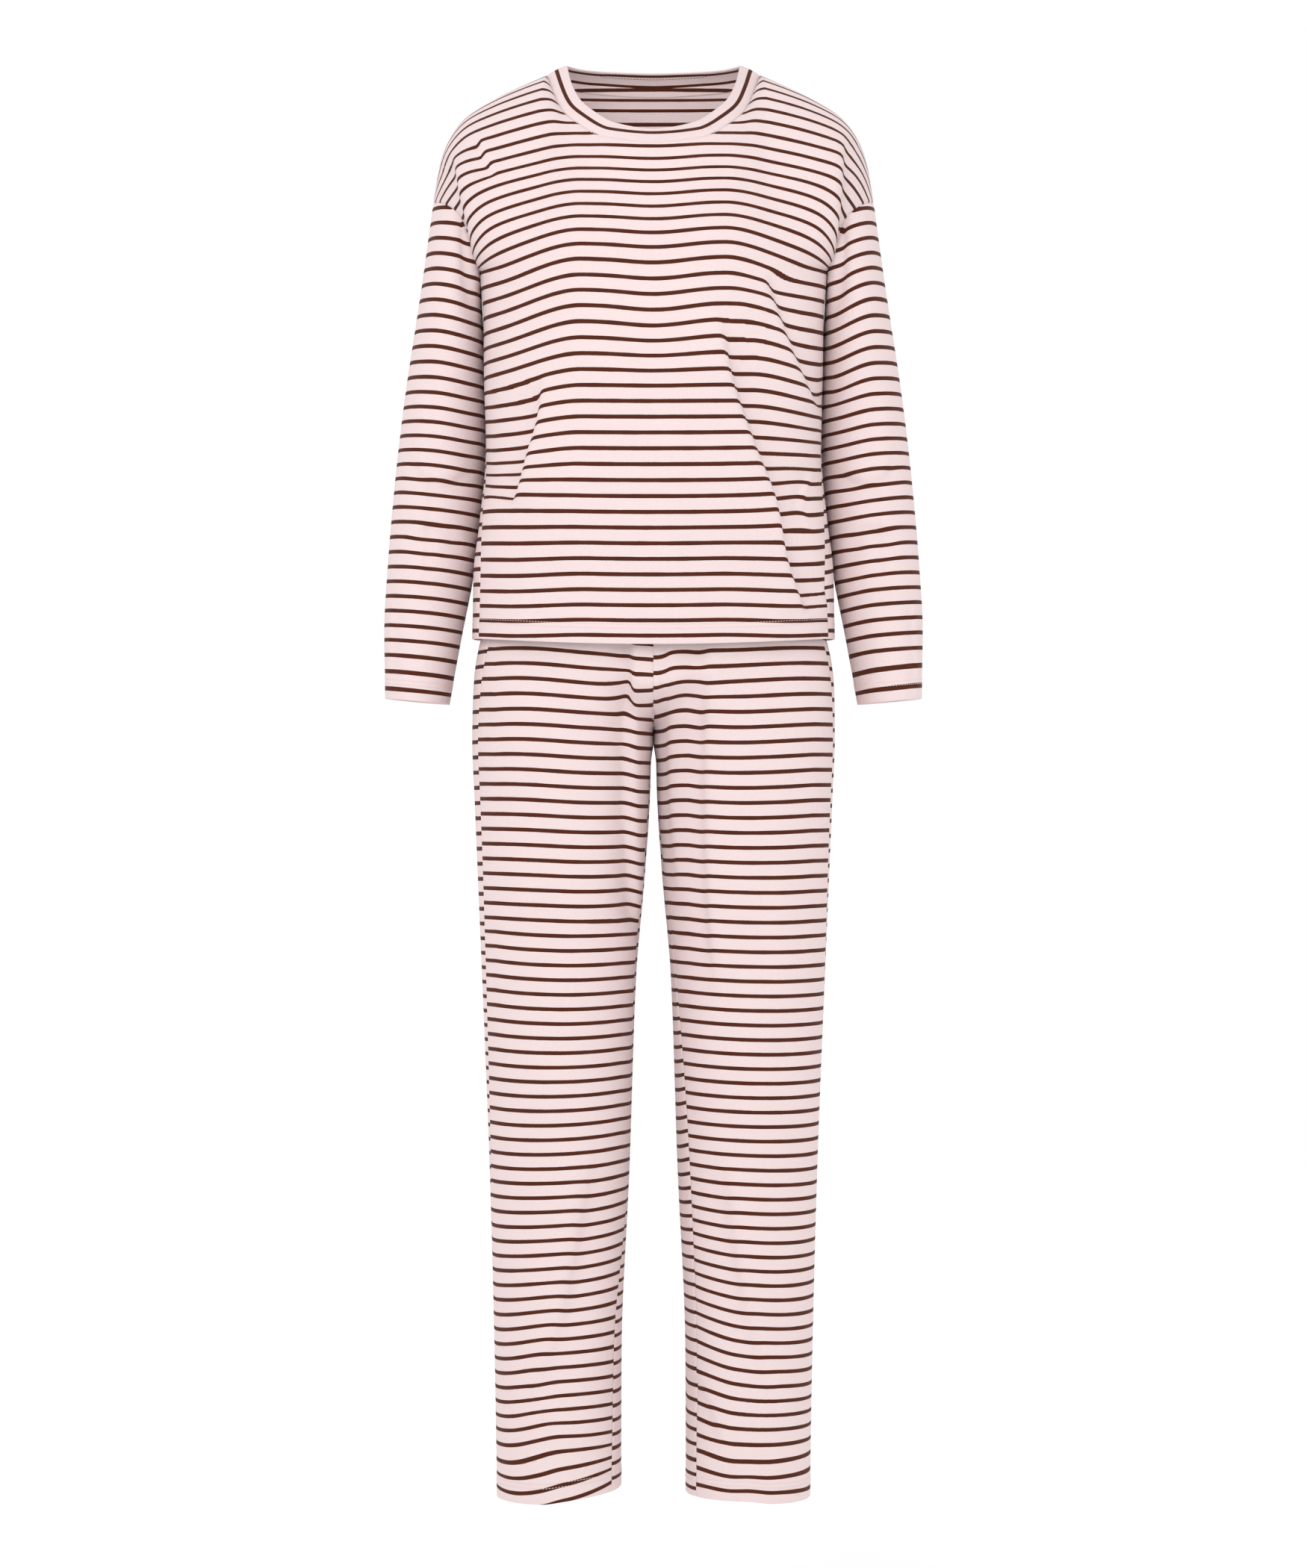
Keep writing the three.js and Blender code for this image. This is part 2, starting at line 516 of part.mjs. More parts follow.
// A closed wall: the grid is its outer face, and the inner face lies one wall behind it.
function wallGeometry(piece) {
  const { grid, normals, stretch, recess, closed, wall } = piece;
  const shifts = drawBack(piece);
  const rows = grid.length;
  const columns = grid[0].length;
  const positions = [];
  for (const depth of [0, wall]) {
    grid.forEach((line, row) => line.forEach((point, column) => {
      const place = point.clone().add(shifts[row][column]);
      place.addScaledVector(normals[row][column], -recess[row][column] - depth * stretch[row][column]);
      positions.push(...place.toArray());
    }));
  }
  const index = [];
  const outer = (row, column) => row * columns + (column % columns);
  const inner = (row, column) => rows * columns + outer(row, column);
  const quad = (a, b, c, d) => index.push(a, b, c, a, c, d);
  const at = (i) => new THREE.Vector3().fromArray(positions, 3 * i);
  const rimQuad = (a, b, c, d) => {
    if (at(a).distanceTo(at(c)) < at(b).distanceTo(at(d))) quad(a, b, c, d);
    else quad(b, c, d, a);
  };
  const spans = closed ? columns : columns - 1;
  for (let row = 0; row < rows - 1; row += 1) {
    for (let column = 0; column < spans; column += 1) {
      quad(outer(row, column), outer(row, column + 1), outer(row + 1, column + 1), outer(row + 1, column));
      quad(inner(row, column), inner(row + 1, column), inner(row + 1, column + 1), inner(row, column + 1));
    }
  }
  for (let column = 0; column < spans; column += 1) {
    const top = rows - 1;
    rimQuad(outer(0, column), inner(0, column), inner(0, column + 1), outer(0, column + 1));
    rimQuad(outer(top, column + 1), inner(top, column + 1), inner(top, column), outer(top, column));
  }
  if (!closed) {
    for (let row = 0; row < rows - 1; row += 1) {
      const end = columns - 1;
      rimQuad(outer(row + 1, 0), inner(row + 1, 0), inner(row, 0), outer(row, 0));
      rimQuad(outer(row, end), inner(row, end), inner(row + 1, end), outer(row + 1, end));
    }
  }
  const geometry = new THREE.BufferGeometry();
  geometry.setAttribute('position', new THREE.Float32BufferAttribute(positions, 3));
  geometry.setIndex(index);
  return geometry;
}

// The tape lies on the inside of the back panel, just below the neckband's seam.
function tapePiece() {
  const back = pieces.find((piece) => piece.name === 'top_back');
  const last = back.grid.length - 1;
  const middle = HALF_COLUMNS;
  const grid = gridOf(TAPE_ROWS, 2 * (NECK_COLUMNS - 1), (row, column) => {
    const at = middle - NECK_COLUMNS + 1 + column;
    const [low, high] = [last - 1, last].map((line) => (
      back.grid[line][at].clone()
        .addScaledVector(back.normals[line][at], -back.wall * back.stretch[line][at] - SEAM_GAP)
    ));
    return low.lerp(high, row / TAPE_ROWS * (1 - TAPE_CLEAR));
  });
  const tape = { name: 'neck_tape', grid, wall: TAPE_WALL };
  tape.normals = normalsOf(tape);
  tape.stretch = grid.map((line) => line.map(() => 1));
  tape.recess = grid.map((line) => line.map(() => 0));
  return tape;
}

shareNormals(-1);
fold();
shareNormals(VALLEY);
pieces.push(tapePiece());

const JERSEY_LOOK = { color: 0xf6dfdf, roughness: 0.9, metalness: 0 };
const group = new THREE.Group();
for (const piece of pieces) {
  const mesh = new THREE.Mesh(wallGeometry(piece), new THREE.MeshStandardMaterial(JERSEY_LOOK));
  mesh.name = piece.name;
  group.add(mesh);
}

export default group;
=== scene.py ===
"""A striped jersey pyjama set, standing open as it does when it is worn.

Tables and surface functions are in millimetres and meshes in metres: +X is the wearer's left,
+Y the back and +Z up. The origin lies between the shoulders.
"""

import functools
import math
from collections import namedtuple

import bpy
import numpy as np
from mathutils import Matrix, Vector


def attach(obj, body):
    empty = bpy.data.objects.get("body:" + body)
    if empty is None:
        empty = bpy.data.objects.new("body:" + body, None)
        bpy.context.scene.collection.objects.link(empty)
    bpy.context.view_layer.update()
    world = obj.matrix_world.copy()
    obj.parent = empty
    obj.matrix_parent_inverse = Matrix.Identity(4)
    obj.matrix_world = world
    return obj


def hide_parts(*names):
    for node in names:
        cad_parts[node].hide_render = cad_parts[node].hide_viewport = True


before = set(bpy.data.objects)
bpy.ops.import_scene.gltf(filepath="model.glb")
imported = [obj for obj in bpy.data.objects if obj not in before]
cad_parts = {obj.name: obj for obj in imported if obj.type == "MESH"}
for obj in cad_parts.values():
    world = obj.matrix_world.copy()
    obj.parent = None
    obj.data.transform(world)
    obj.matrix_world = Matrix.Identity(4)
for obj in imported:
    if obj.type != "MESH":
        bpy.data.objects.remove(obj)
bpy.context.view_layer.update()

bl_info = {
    "name": "Striped Pyjama Set",
    "version": (1, 0, 0),
    "blender": (4, 5, 0),
    "location": "View3D > Sidebar > Pyjamas",
    "description": "Makes a worn pyjama set in striped jersey, with its seams, hems and stitches",
    "category": "Add Mesh",
}

MM = 0.001

# The worn form

HEM = -566
ARMPIT = -198
WAISTBAND_TOP = -430
WAISTBAND_FOOT = -465
CROTCH = -672
CROTCH_TOP = -608
LEG_TOP = -540
TROUSER_HEM = -1420
FULLNESS = 0.85
NECK_SHARE = 0.5
NECK_BEND = 42
SHOULDER_BEND = 86
ARM_START = 0.42
ARM_PACE = 0.8
LIFT_INWARD = 0.3
LIFT_UP = 0.95
NECKBAND_CROWN = 0.8


class Table:
    """Rows of numbers with a smooth curve through each column that never swings past its rows."""

    def __init__(self, key, columns, rows):
        data = np.array(rows, float)
        self.at = data[:, 0]
        self.key = key
        self.columns = columns.split()
        self.values = data[:, 1:]
        rate = np.diff(self.values, axis=0) / np.diff(self.at)[:, None]
        before, after = rate[:-1], rate[1:]
        total = np.where(before + after == 0, 1, before + after)
        inner = np.where(before * after <= 0, 0, 2 * before * after / total)
        self.slope = np.vstack([rate[:1], inner, rate[-1:]])

    def __call__(self, at):
        at = np.asarray(at, float)
        i = np.clip(np.searchsorted(self.at, at, side="left") - 1, 0, len(self.at) - 2)
        span = self.at[i + 1] - self.at[i]
        t = np.clip((at - self.at[i]) / span, 0, 1)
        ease = 3 * t**2 - 2 * t**3
        row = {}
        for column, name in enumerate(self.columns):
            value, slope = self.values[:, column], self.slope[:, column]
            row[name] = value[i] + (value[i + 1] - value[i]) * ease + span * (
                t * (1 - t) ** 2 * slope[i] - t**2 * (1 - t) * slope[i + 1]
            )
        return row


# The top below the armpits: half its width, depths before and behind the line mid, how far the
# centre front dips, and the degrees by which the side seam lies in front of the widest line
BODY = Table("z", "half front back mid dip seam", (
    (-566, 181.5, 113, 124, -2, 8, 16),
    (-500, 180.5, 115, 119, -4, 6, 17),
    (-450, 174.5, 117, 113, -6, 4, 12),
    (-375, 168.0, 118, 108, -6, 2, 5),
    (-300, 170.0, 118, 110, -6, 0, 0),
    (-240, 170.5, 114, 113, -4, 0, 0),
    (-198, 174.0, 109, 113, 0, 0, 0),
))

CHEST_APART, CHEST_HEIGHT, CHEST_WIDTH, CHEST_LENGTH, CHEST_DEPTH = 66, -268, 46, 75, 7

# The neckband's seam and free edge, from the centre to the shoulder
NECK_FRONT = Table("share", "seam_x seam_y seam_z edge_x edge_y edge_z", (
    (-0.30, -48, -79, -71.5, -38, -67, -56),
    (0.00, 0, -85, -77, 0, -74, -63),
    (0.30, 48, -79, -71.5, 38, -67, -56),
    (0.50, 76, -61, -55, 61, -52, -41),
    (0.66, 91, -43, -40, 74, -36, -27),
    (0.84, 101, -19, -17, 83, -14, -6),
    (1.00, 107, 8, 2, 87, 8, 12),
))
NECK_BACK = Table("share", "seam_x seam_y seam_z edge_x edge_y edge_z", (
    (-0.50, -62, 68, 3, -50, 54, 13.5),
    (0.00, 0, 78, 1, 0, 62, 13),
    (0.50, 62, 68, 3, 50, 54, 13.5),
    (0.80, 97, 38, 4, 78, 33, 13.5),
    (1.00, 107, 8, 2, 87, 8, 12),
))

# The shoulder seam, from the neckband over the dropped shoulder to the armhole
SHOULDER = Table("share", "x y z", (
    (0.00, 107, 8, 2),
    (0.14, 130, 8, -8),
    (0.29, 157, 7, -21),
    (0.51, 191, 5, -44),
    (0.65, 206, 3, -66),
    (0.78, 214, 2, -88),
    (1.00, 221, 0, -129),
))

# A sleeve from the cuff to the armhole: outer and inner line, and depths from the line mid
SLEEVE = Table("rise", "out_x out_z in_x in_z mid front back lift", (
    (0.00, 269.5, -625.5, 205.5, -631.5, 8, 42, 43, 0),
    (0.14, 271, -556, 193, -563, 12, 45, 46, 0),
    (0.29, 267.5, -487, 180.5, -497, 18, 48, 49, 0),
    (0.47, 260, -398, 171, -416, 24, 53, 54, 0),
    (0.65, 249.5, -312, 168.0, -340, 24, 57, 58, 1),
    (0.83, 234.5, -218, 170.4, -266, 15, 60, 62, 5),
    (1.00, 221, -129, 174, -198, 0, 60, 66, 12),
))

HIPS = Table("z", "half front back mid", (
    (-672, 182, 101, 111, 0),
    (-640, 182, 103, 116, 0),
    (-610, 180.5, 103, 117, 0),
    (-570, 174, 101, 114, 0),
    (-520, 157, 97, 107, 0),
    (-465, 134, 92, 97, 0),
    (-430, 132, 90, 95, 0),
))
LEG = Table("z", "out inn front back mid", (
    (-1420, 157, 32.5, 74, 76, 2),
    (-1281, 159.5, 32, 76, 79, 2),
    (-1094, 164.5, 24, 81, 85, 2),
    (-906, 172, 17.5, 88, 92, 3),
    (-800, 176.5, 8.5, 93, 98, 3),
    (-718, 180, 3.3, 97, 105, 3),
    (-690, 181.4, 2.6, 99, 108, 3),
    (-672, 182, 0, 101, 111, 3),
))
TROUSER_SEAMS = Table("z", "side_right side_left in_right in_left", (
    (-1420, 0, 0, 31, 32),
    (-1260, 0, 0, 26, 33),
    (-1100, 12, 0, 8, 33),
    (-900, 20, 6, 10, 20),
    (-760, 22, 13, 14, 6),
    (-672, 22, 13, 0, 0),
    (-430, 20, 16, 0, 0),
))

# Cloth length up a leg from its hem, which hangs a little closer towards the floor
LEG_CLOTH = Table("z", "length", (
    (-1420, 0.5),
    (-1372, 48.0),
    (-1150, 290.0),
    (-850, 610.0),
    (-565, 903.5),
    (-430, 1043.0),
))

# Folds

# A fold follows path, given as (x, z) seen from the front. Beside it the cloth stands proud by
# lip on the left hand and lies back by sink on the right, and takes is the length of cloth that
# the fold takes up on that right hand, fading over carry.
Fold = namedtuple("Fold", "face path lip sink spread edge takes carry ends", defaults=(0, 60, 0.22))

TOP_FOLDS = (
    Fold("front", ((-200, -80), (-192, -128), (-182, -176), (-174, -270)), 4, 7, 20, 4, 0),
    Fold("front", ((174, -270), (182, -176), (186, -120), (190, -60)), 4, 7, 20, 4, 0),
    Fold("front", ((-108, -305), (-115, -352), (-125, -385), (-134, -419), (-142, -440)),
         4, 8, 28, 3.0, 6.5, 60),
    Fold("front", ((153, -545), (143, -521), (132, -487), (121, -430), (101, -379), (79, -317), (62, -240)),
         4, 9, 30, 2.6, 5.0, 80, 0.15),
    Fold("front", ((168, -345), (156, -322), (138, -284), (118, -232), (108, -205)), 2, 5, 20, 3.0, 6, 34),
    Fold("front", ((160, -395), (152, -424), (151, -440), (160, -466)), -1, 4, 12, 2.5, -3, 30),
    Fold("front", ((-176, -66), (-170, -84), (-166, -94), (-153, -114)), 1.5, 2.5, 12, 2.5, 4, 24),
    Fold("front", ((-66, -520), (-70, -440), (-62, -360)), 0.8, 1.0, 26, 8, 0),
    Fold("front", ((30, -540), (26, -440), (38, -330)), 0.8, 1.0, 30, 9, 0),
    Fold("front", ((-128, -560), (-118, -520), (-112, -480)), 1.2, 1.2, 18, 6, 0),
    Fold("back", ((-150, -130), (-128, -260), (-96, -430)), 5, 8, 30, 4, 5, 60),
    Fold("back", ((92, -470), (124, -280), (152, -120)), 5, 7, 28, 4, 5, 60),
    Fold("back", ((34, -556), (24, -440), (30, -320)), 4, 5, 26, 5, 2),
    Fold("back", ((-50, -350), (-62, -450), (-60, -556)), 4, 5, 30, 5, -2),
    Fold("back", ((-118, -80), (-60, -108), (0, -118)), 1.5, 2.5, 22, 5, 2, 40),
    Fold("back", ((8, -118), (64, -106), (124, -76)), 1.5, 2.5, 22, 5, 2, 40),
    Fold("back", ((130, -556), (120, -500), (96, -440)), 1.5, 2.5, 18, 4, 2, 40),
)
SLEEVE_FOLDS = (
    Fold("front", ((178, -392), (214, -410), (246, -385)), 3, 5, 18, 5, 2, 30),
    Fold("front", ((182, -470), (214, -452), (256, -466)), 3, 4, 18, 5, 2, 30),
    Fold("front", ((226, -300), (226, -420), (234, -540)), 1.2, 1.4, 12, 4, 0),
    Fold("front", ((258, -520), (262, -570), (262, -628)), 0.9, 1.4, 8, 2, 0),
    Fold("back", ((180, -330), (210, -352), (248, -335)), 4, 4, 22, 5, 2, 30),
    Fold("back", ((190, -520), (226, -500), (262, -512)), 3, 4, 20, 5, 2, 30),
    Fold("back", ((184, -430), (216, -440), (256, -424)), 2.5, 3.5, 18, 4, 2, 30),
)
TROUSER_FOLDS = (
    Fold("front", ((-22, -490), (-21, -720), (-18, -800), (-15, -860)), 3, 7, 20, 2.4, -3.3, 40, 0.14),
    Fold("front", ((52, -480), (50, -760), (60, -930)), 3, 4, 26, 4, 2, 40),
    Fold("front", ((14, -490), (14, -700), (24, -840)), 1.5, 1.8, 10, 3, 1.5, 20),
    Fold("front", ((-140, -1330), (-95, -1250), (-58, -1060)), 3, 5, 30, 8, 4, 60),
    Fold("front", ((66, -1060), (92, -1230), (136, -1350)), 3, 5, 30, 8, 3, 60),
    Fold("front", ((36, -1290), (52, -1320), (70, -1370)), 1.4, 2.0, 12, 4, 3, 30),
    Fold("front", ((-96, -700), (-92, -860), (-100, -1000)), 0.9, 0.9, 26, 8, 0),
    Fold("front", ((118, -640), (120, -800), (112, -980)), 0.9, 1.1, 26, 8, 0),
    Fold("back", ((-60, -640), (-96, -800), (-100, -1000)), 4, 6, 32, 5, 4, 60),
    Fold("back", ((104, -1010), (98, -810), (58, -640)), 4, 6, 32, 5, 4, 60),
    Fold("back", ((-120, -1120), (-84, -1200), (-76, -1330)), 3, 4, 30, 6, 2),
    Fold("back", ((76, -1340), (86, -1210), (122, -1130)), 3, 4, 30, 6, 2),
    Fold("back", ((-30, -690), (-70, -712), (-120, -704)), 2.0, 3.0, 16, 4, 3, 30),
    Fold("back", ((120, -706), (70, -714), (30, -688)), 2.0, 3.0, 16, 4, 3, 30),
)
FOLD_SAMPLES = 70

# How much lower the stripes of the front lie towards the wearer's right and left side than at the
# middle, because cloth is taken up over the chest and under the arms
FRONT_DROOP = Table("z", "right left", (
    (-566, 0, 0),
    (-500, 1.5, 1),
    (-457, 1.5, 1),
    (-429, 1, 0),
    (-412, 3, 1.5),
    (-400, 8.5, 3),
    (-378, 14, 6),
    (-349, 16.5, 13),
    (-289, 22, 19),
    (-240, 25, 22),
    (-195, 26.5, 26),
    (-97, 25, 20.5),
    (0, 20, 16),
))
DROOP_START, DROOP_END = 70, 176

# How much lower the stripes lie than a length measured along the cloth puts them, all the way
# across: the cloth is eased in towards the neck, and hangs unevenly in the sleeves and the legs
FRONT_EASE = Table("z", "down", (
    (-566, 3.5),
    (-521, 4.8),
    (-455, 5.2),
    (-382, 4.2),
    (-309, 3.6),
    (-272, 2.8),
    (-243, 1.2),
    (-214, 0),
    (-195, -1.5),
    (-166, 0),
    (-141, 4.5),
    (-116, 10),
    (-95, 15),
    (-70, 17.5),
    (10, 18),
))
BACK_EASE = Table("z", "down", (
    (-566, 3.5),
    (-300, 3.5),
    (-60, -2.5),
    (-36, -2.5),
    (-23, -1.7),
    (-12, 3),
    (-3, 6),
    (5, 8),
))
SLEEVE_EASE = Table("z", "right left", (
    (-618, 2, 0),
    (-597, -0.5, -5),
    (-578, -1.5, -8.5),
    (-547, -0.5, -8.7),
    (-488, 1.5, -8),
    (-428, 2.5, -7.5),
    (-398, 4.5, -7),
    (-369, 6.5, -5.5),
    (-339, 8.5, -4.5),
    (-305, 9.5, -4.5),
    (-242, 8.5, -6.5),
    (-212, 8, -8.5),
    (-120, 7, -8),
))
LEG_EASE = Table("z", "right left", (
    (-1420, 0.5, 5.2),
    (-1404, 0.8, 7.2),
    (-1386, 0.7, 9.2),
    (-1370, -1.5, 7.5),
    (-1341, -1.3, 5.6),
    (-1286, -1.6, 3),
    (-1190, -0.8, 1.8),
    (-1076, 0.2, 1.6),
    (-875, 0.2, 1.6),
    (-787, -1.2, 0.8),
    (-713, -2.8, 0),
    (-640, -3.8, -0.9),
    (-579, -3.8, -2.8),
))

# How much lower still the stripes of the trouser fronts lie near the inseam and the side seam
LEG_BEND = Table("z", "right_in right_out left_in left_out", (
    (-1420, -9, -2, 4.3, 0.7),
    (-1403, -9, -0.5, 2.6, -0.5),
    (-1390, -5.8, 1.8, -0.6, -2.1),
    (-1362, -1, 3.1, -2.6, 0.6),
    (-1334, -0.2, 3.6, -5.6, 2.8),
    (-1306, 0.6, 4.1, -6.5, 4.3),
    (-1277, -0.7, 4.9, -8.5, 4.3),
    (-1247, -2.9, 5.5, -11.4, 4.3),
    (-1216, -5.2, 5.5, -11.1, 3.3),
    (-1189, -6.2, 5, -9.8, 2.9),
    (-1162, -6, 3.9, -8, 2.6),
    (-1106, -4.3, 1.8, -4.7, 2),
    (-1048, -3.5, 0.6, -2.8, 0.8),
    (-992, -2.2, -0.6, -2.8, 0.6),
    (-906, -0.9, -2, -2.8, 0.5),
    (-861, -0.2, -2.2, -3.3, 0.2),
    (-847, 2.2, -1.8, -3.4, 0.2),
    (-790, 2.2, -1, -4.1, 0.4),
    (-700, 1.5, 0.5, -6.1, 1.3),
    (-640, 2, 1.5, -5.9, 1.7),
    (-610, 3.5, 0.8, -2.8, 1.6),
))
BEND_IN, BEND_MIDDLE, BEND_OUT = 41, 94, 139

# How much lower the leg hems hang from the inseams to the side seams, and how far up that reaches
TILT_HEIGHT = 70
HEM_TILT = Table("x", "down", (
    (-160, 4.5),
    (-112, 4),
    (-86, 0.5),
    (-40, -5),
    (-30, -6),
    (30, 0),
    (92, 0.5),
    (118, 3.5),
    (160, 4.5),
))


def smooth(value, low, high):
    t = np.clip((value - low) / (high - low), 0, 1)
    return t * t * (3 - 2 * t)


def mix(a, b, share):
    return a + (b - a) * share


def stacked(x, y, z):
    return np.stack(np.broadcast_arrays(x, y, z), axis=-1).astype(float)


def on_section(half, row, turn):
    """A point of a level section: turn is 0 at the front, 90 at the wearer's left, 180 behind."""
    angle = np.radians(turn)
    depth = np.where(np.cos(angle) > 0, -row["front"], row["back"])
    return half * np.sin(angle), row["mid"] + depth * np.abs(np.cos(angle)) ** FULLNESS


def body_point(z, reach, face):
    row = BODY(z)
    turn = reach * (90 - row["seam"]) if face == "front" else 180 - reach * (90 + row["seam"])
    x, y = on_section(row["half"], row, turn)
    facing = np.maximum(np.cos(np.radians(turn)), 0)
    chest = CHEST_DEPTH * facing * np.exp(
        -(((x - CHEST_APART) / CHEST_WIDTH) ** 2) - ((z - CHEST_HEIGHT) / CHEST_LENGTH) ** 2
    )
    return stacked(x, y - chest, z - row["dip"] * facing**2)


def sleeve_point(rise, turn):
    row = SLEEVE(rise)
    angle = np.radians(turn)
    out = (1 - np.cos(angle)) / 2
    depth = np.where(turn <= 180, -row["front"], -row["back"])
    lift = row["lift"] * np.sin(angle) ** 2
    return stacked(
        mix(row["in_x"], row["out_x"], out) - LIFT_INWARD * lift,
        row["mid"] + depth * np.sin(angle),
        mix(row["in_z"], row["out_z"], out) + LIFT_UP * lift,
    )


def arm_turn(rise):
    return 180 * rise**ARM_PACE


def armhole_point(rise, face):
    return sleeve_point(1.0, arm_turn(rise) if face == "front" else 360 - arm_turn(rise))


def neck_point(share, face, line):
    row = NECK_FRONT(share) if face == "front" else NECK_BACK(share)
    return stacked(row[line + "_x"], row[line + "_y"], row[line + "_z"])


def shoulder_point(share):
    row = SHOULDER(share)
    return stacked(row["x"], row["y"], row["z"])


def arch(foot, head, bend, rise):
    """A curve that leaves foot upwards and turns by bend degrees on its way to head."""
    full = np.radians(bend)
    back = (1 - np.cos(full * rise)) / (1 - np.cos(full))
    up = np.sin(full * rise) / np.sin(full)
    return np.stack([
        mix(foot[..., 0], head[..., 0], rise),
        mix(foot[..., 1], head[..., 1], back),
        mix(foot[..., 2], head[..., 2], up),
    ], axis=-1)


def yoke_point(rise, reach, face):
    rise, reach = np.broadcast_arrays(rise, reach)
    at_neck = (reach <= NECK_SHARE)[..., None]
    seam = np.where(
        at_neck,
        neck_point(reach / NECK_SHARE, face, "seam"),
        shoulder_point((reach - NECK_SHARE) / (1 - NECK_SHARE)),
    )
    bend = mix(NECK_BEND, SHOULDER_BEND, smooth(reach, 0, NECK_SHARE))
    armpit = np.full(rise.shape, float(ARMPIT))
    point = arch(body_point(armpit, reach, face), seam, bend, rise)
    side = body_point(armpit, np.ones(rise.shape), face)
    edge = arch(side, shoulder_point(np.ones(rise.shape)), SHOULDER_BEND, rise)
    pull = smooth(reach, ARM_START, 1)[..., None]
    return point + (armhole_point(rise, face) - edge) * pull


def trouser_point(z, share, face, side):
    hip, limb, seams = HIPS(z), LEG(z), TROUSER_SEAMS(z)
    side_seam, inseam = seams["side_" + side], seams["in_" + side]
    if face == "front":
        hip_turn, first = share * (90 - side_seam), inseam - 90
    else:
        hip_turn, first = 180 - share * (90 + side_seam), inseam + 270
    hip_x, hip_y = on_section(hip["half"], hip, hip_turn)
    half = (limb["out"] - limb["inn"]) / 2
    leg_x, leg_y = on_section(half, limb, mix(first, 90 - side_seam, share))
    split = 1 - smooth(z, CROTCH, mix(CROTCH_TOP, LEG_TOP, share))
    return stacked(
        mix(hip_x, (limb["out"] + limb["inn"]) / 2 + leg_x, split), mix(hip_y, leg_y, split), z
    )


# Grids of cloth

def with_edges(values, low=(), high=()):
    """values with extra steps close to its two ends, for the roll of a hem or a seam."""
    span = values[-1] - values[0]
    extra = [values[0] + span * e for e in low] + [values[-1] - span * e for e in high]
    return np.unique(np.round(np.concatenate([values, extra]), 9))


SEAM_STEPS = (0.0022, 0.006)
REACH = with_edges(np.unique(np.concatenate([
    np.linspace(0, NECK_SHARE, 35), np.linspace(NECK_SHARE, 1, 43),
])), high=SEAM_STEPS)
RISE = with_edges(np.linspace(0, 1, 64), high=(0.003, 0.009))
HEM_STEPS = (0.0004, 0.0011, 0.0022, 0.0036)
BODY_ROWS = with_edges(np.linspace(HEM, ARMPIT, 104), low=HEM_STEPS)
CUFF_STEPS = (0.0003, 0.0008, 0.0017, 0.003)
SLEEVE_RISE = with_edges(np.linspace(0, 1, 124), low=CUFF_STEPS, high=SEAM_STEPS)
LEG_SHARE = with_edges(np.linspace(0, 1, 62), low=SEAM_STEPS, high=SEAM_STEPS)
LEG_ROWS = np.concatenate([
    with_edges(np.linspace(TROUSER_HEM, CROTCH, 200), low=(0.0002, 0.0005, 0.001, 0.0018)),
    np.linspace(CROTCH, WAISTBAND_FOOT, 60)[1:],
])
BAND_RISE = with_edges(np.linspace(0, 1, 12), low=(0.02, 0.05), high=(0.012, 0.03, 0.055))
WAIST_RISE = with_edges(np.linspace(0, 1, 26), low=(0.01, 0.03), high=(0.01, 0.03))

NECK_REACH = REACH[REACH <= NECK_SHARE + 1e-6] / NECK_SHARE


def mirrored(grid):
    flipped = grid[:, ::-1].copy()
    flipped[..., 0] *= -1
    return flipped


class Cloth:
    """One piece of cloth as a grid: columns run anticlockwise seen from above, rows upwards."""

    def __init__(self, name, grid, folds=(), wrap=False):
        self.name, self.grid, self.folds, self.wrap = name, grid, folds, wrap
        self.up = lengths(grid, 0)
        self.cut = self.up
        ring = np.concatenate([grid, grid[:, :1]], axis=1) if wrap else grid
        self.across = lengths(ring, 1)
        self.shift = np.zeros(grid.shape[:2])
        self.inward = np.zeros(grid.shape[:2])
        self.normals = None

    @property
    def last(self):
        return self.up[-1:, :] - self.up

    def to_sides(self):
        """Distance to the nearer side seam, or to the seam at the first column of a tube."""
        if self.wrap:
            inner = self.across[:, :-1]
            return np.minimum(inner, self.across[:, -1:] - inner)
        return np.minimum(self.across, self.across[:, -1:] - self.across)


def lengths(grid, axis):
    """Distance along each row or column of a grid from its start."""
    steps = np.linalg.norm(np.diff(grid, axis=axis), axis=-1)
    start = np.zeros_like(np.take(steps, [0], axis=axis))
    return np.concatenate([start, np.cumsum(steps, axis=axis)], axis=axis)


def normals_of(grid, wrap):
    if wrap:
        across = np.roll(grid, -1, axis=1) - np.roll(grid, 1, axis=1)
    else:
        across = np.gradient(grid, axis=1)
    normal = np.cross(across, np.gradient(grid, axis=0))
    return normal / np.maximum(np.linalg.norm(normal, axis=-1, keepdims=True), 1e-9)


def rim_of(cloth):
    rows, columns = cloth.grid.shape[:2]
    rim = {(row, column) for row in (0, rows - 1) for column in range(columns)}
    if not cloth.wrap:
        rim |= {(row, column) for column in (0, columns - 1) for row in range(rows)}
    return sorted(rim)


def share_normals(cloths):
    """Pieces that meet at a seam get one normal there, so that the seam stays closed."""
    sums = {}
    rims = []
    for cloth in cloths:
        cloth.normals = normals_of(cloth.grid, cloth.wrap)
        for row, column in rim_of(cloth):
            key = tuple(np.round(cloth.grid[row, column] * 20).astype(int))
            rims.append((cloth, row, column, key))
            sums[key] = sums.get(key, 0) + cloth.normals[row, column]
    for cloth, row, column, key in rims:
        total = sums[key]
        cloth.normals[row, column] = total / max(np.linalg.norm(total), 1e-6)


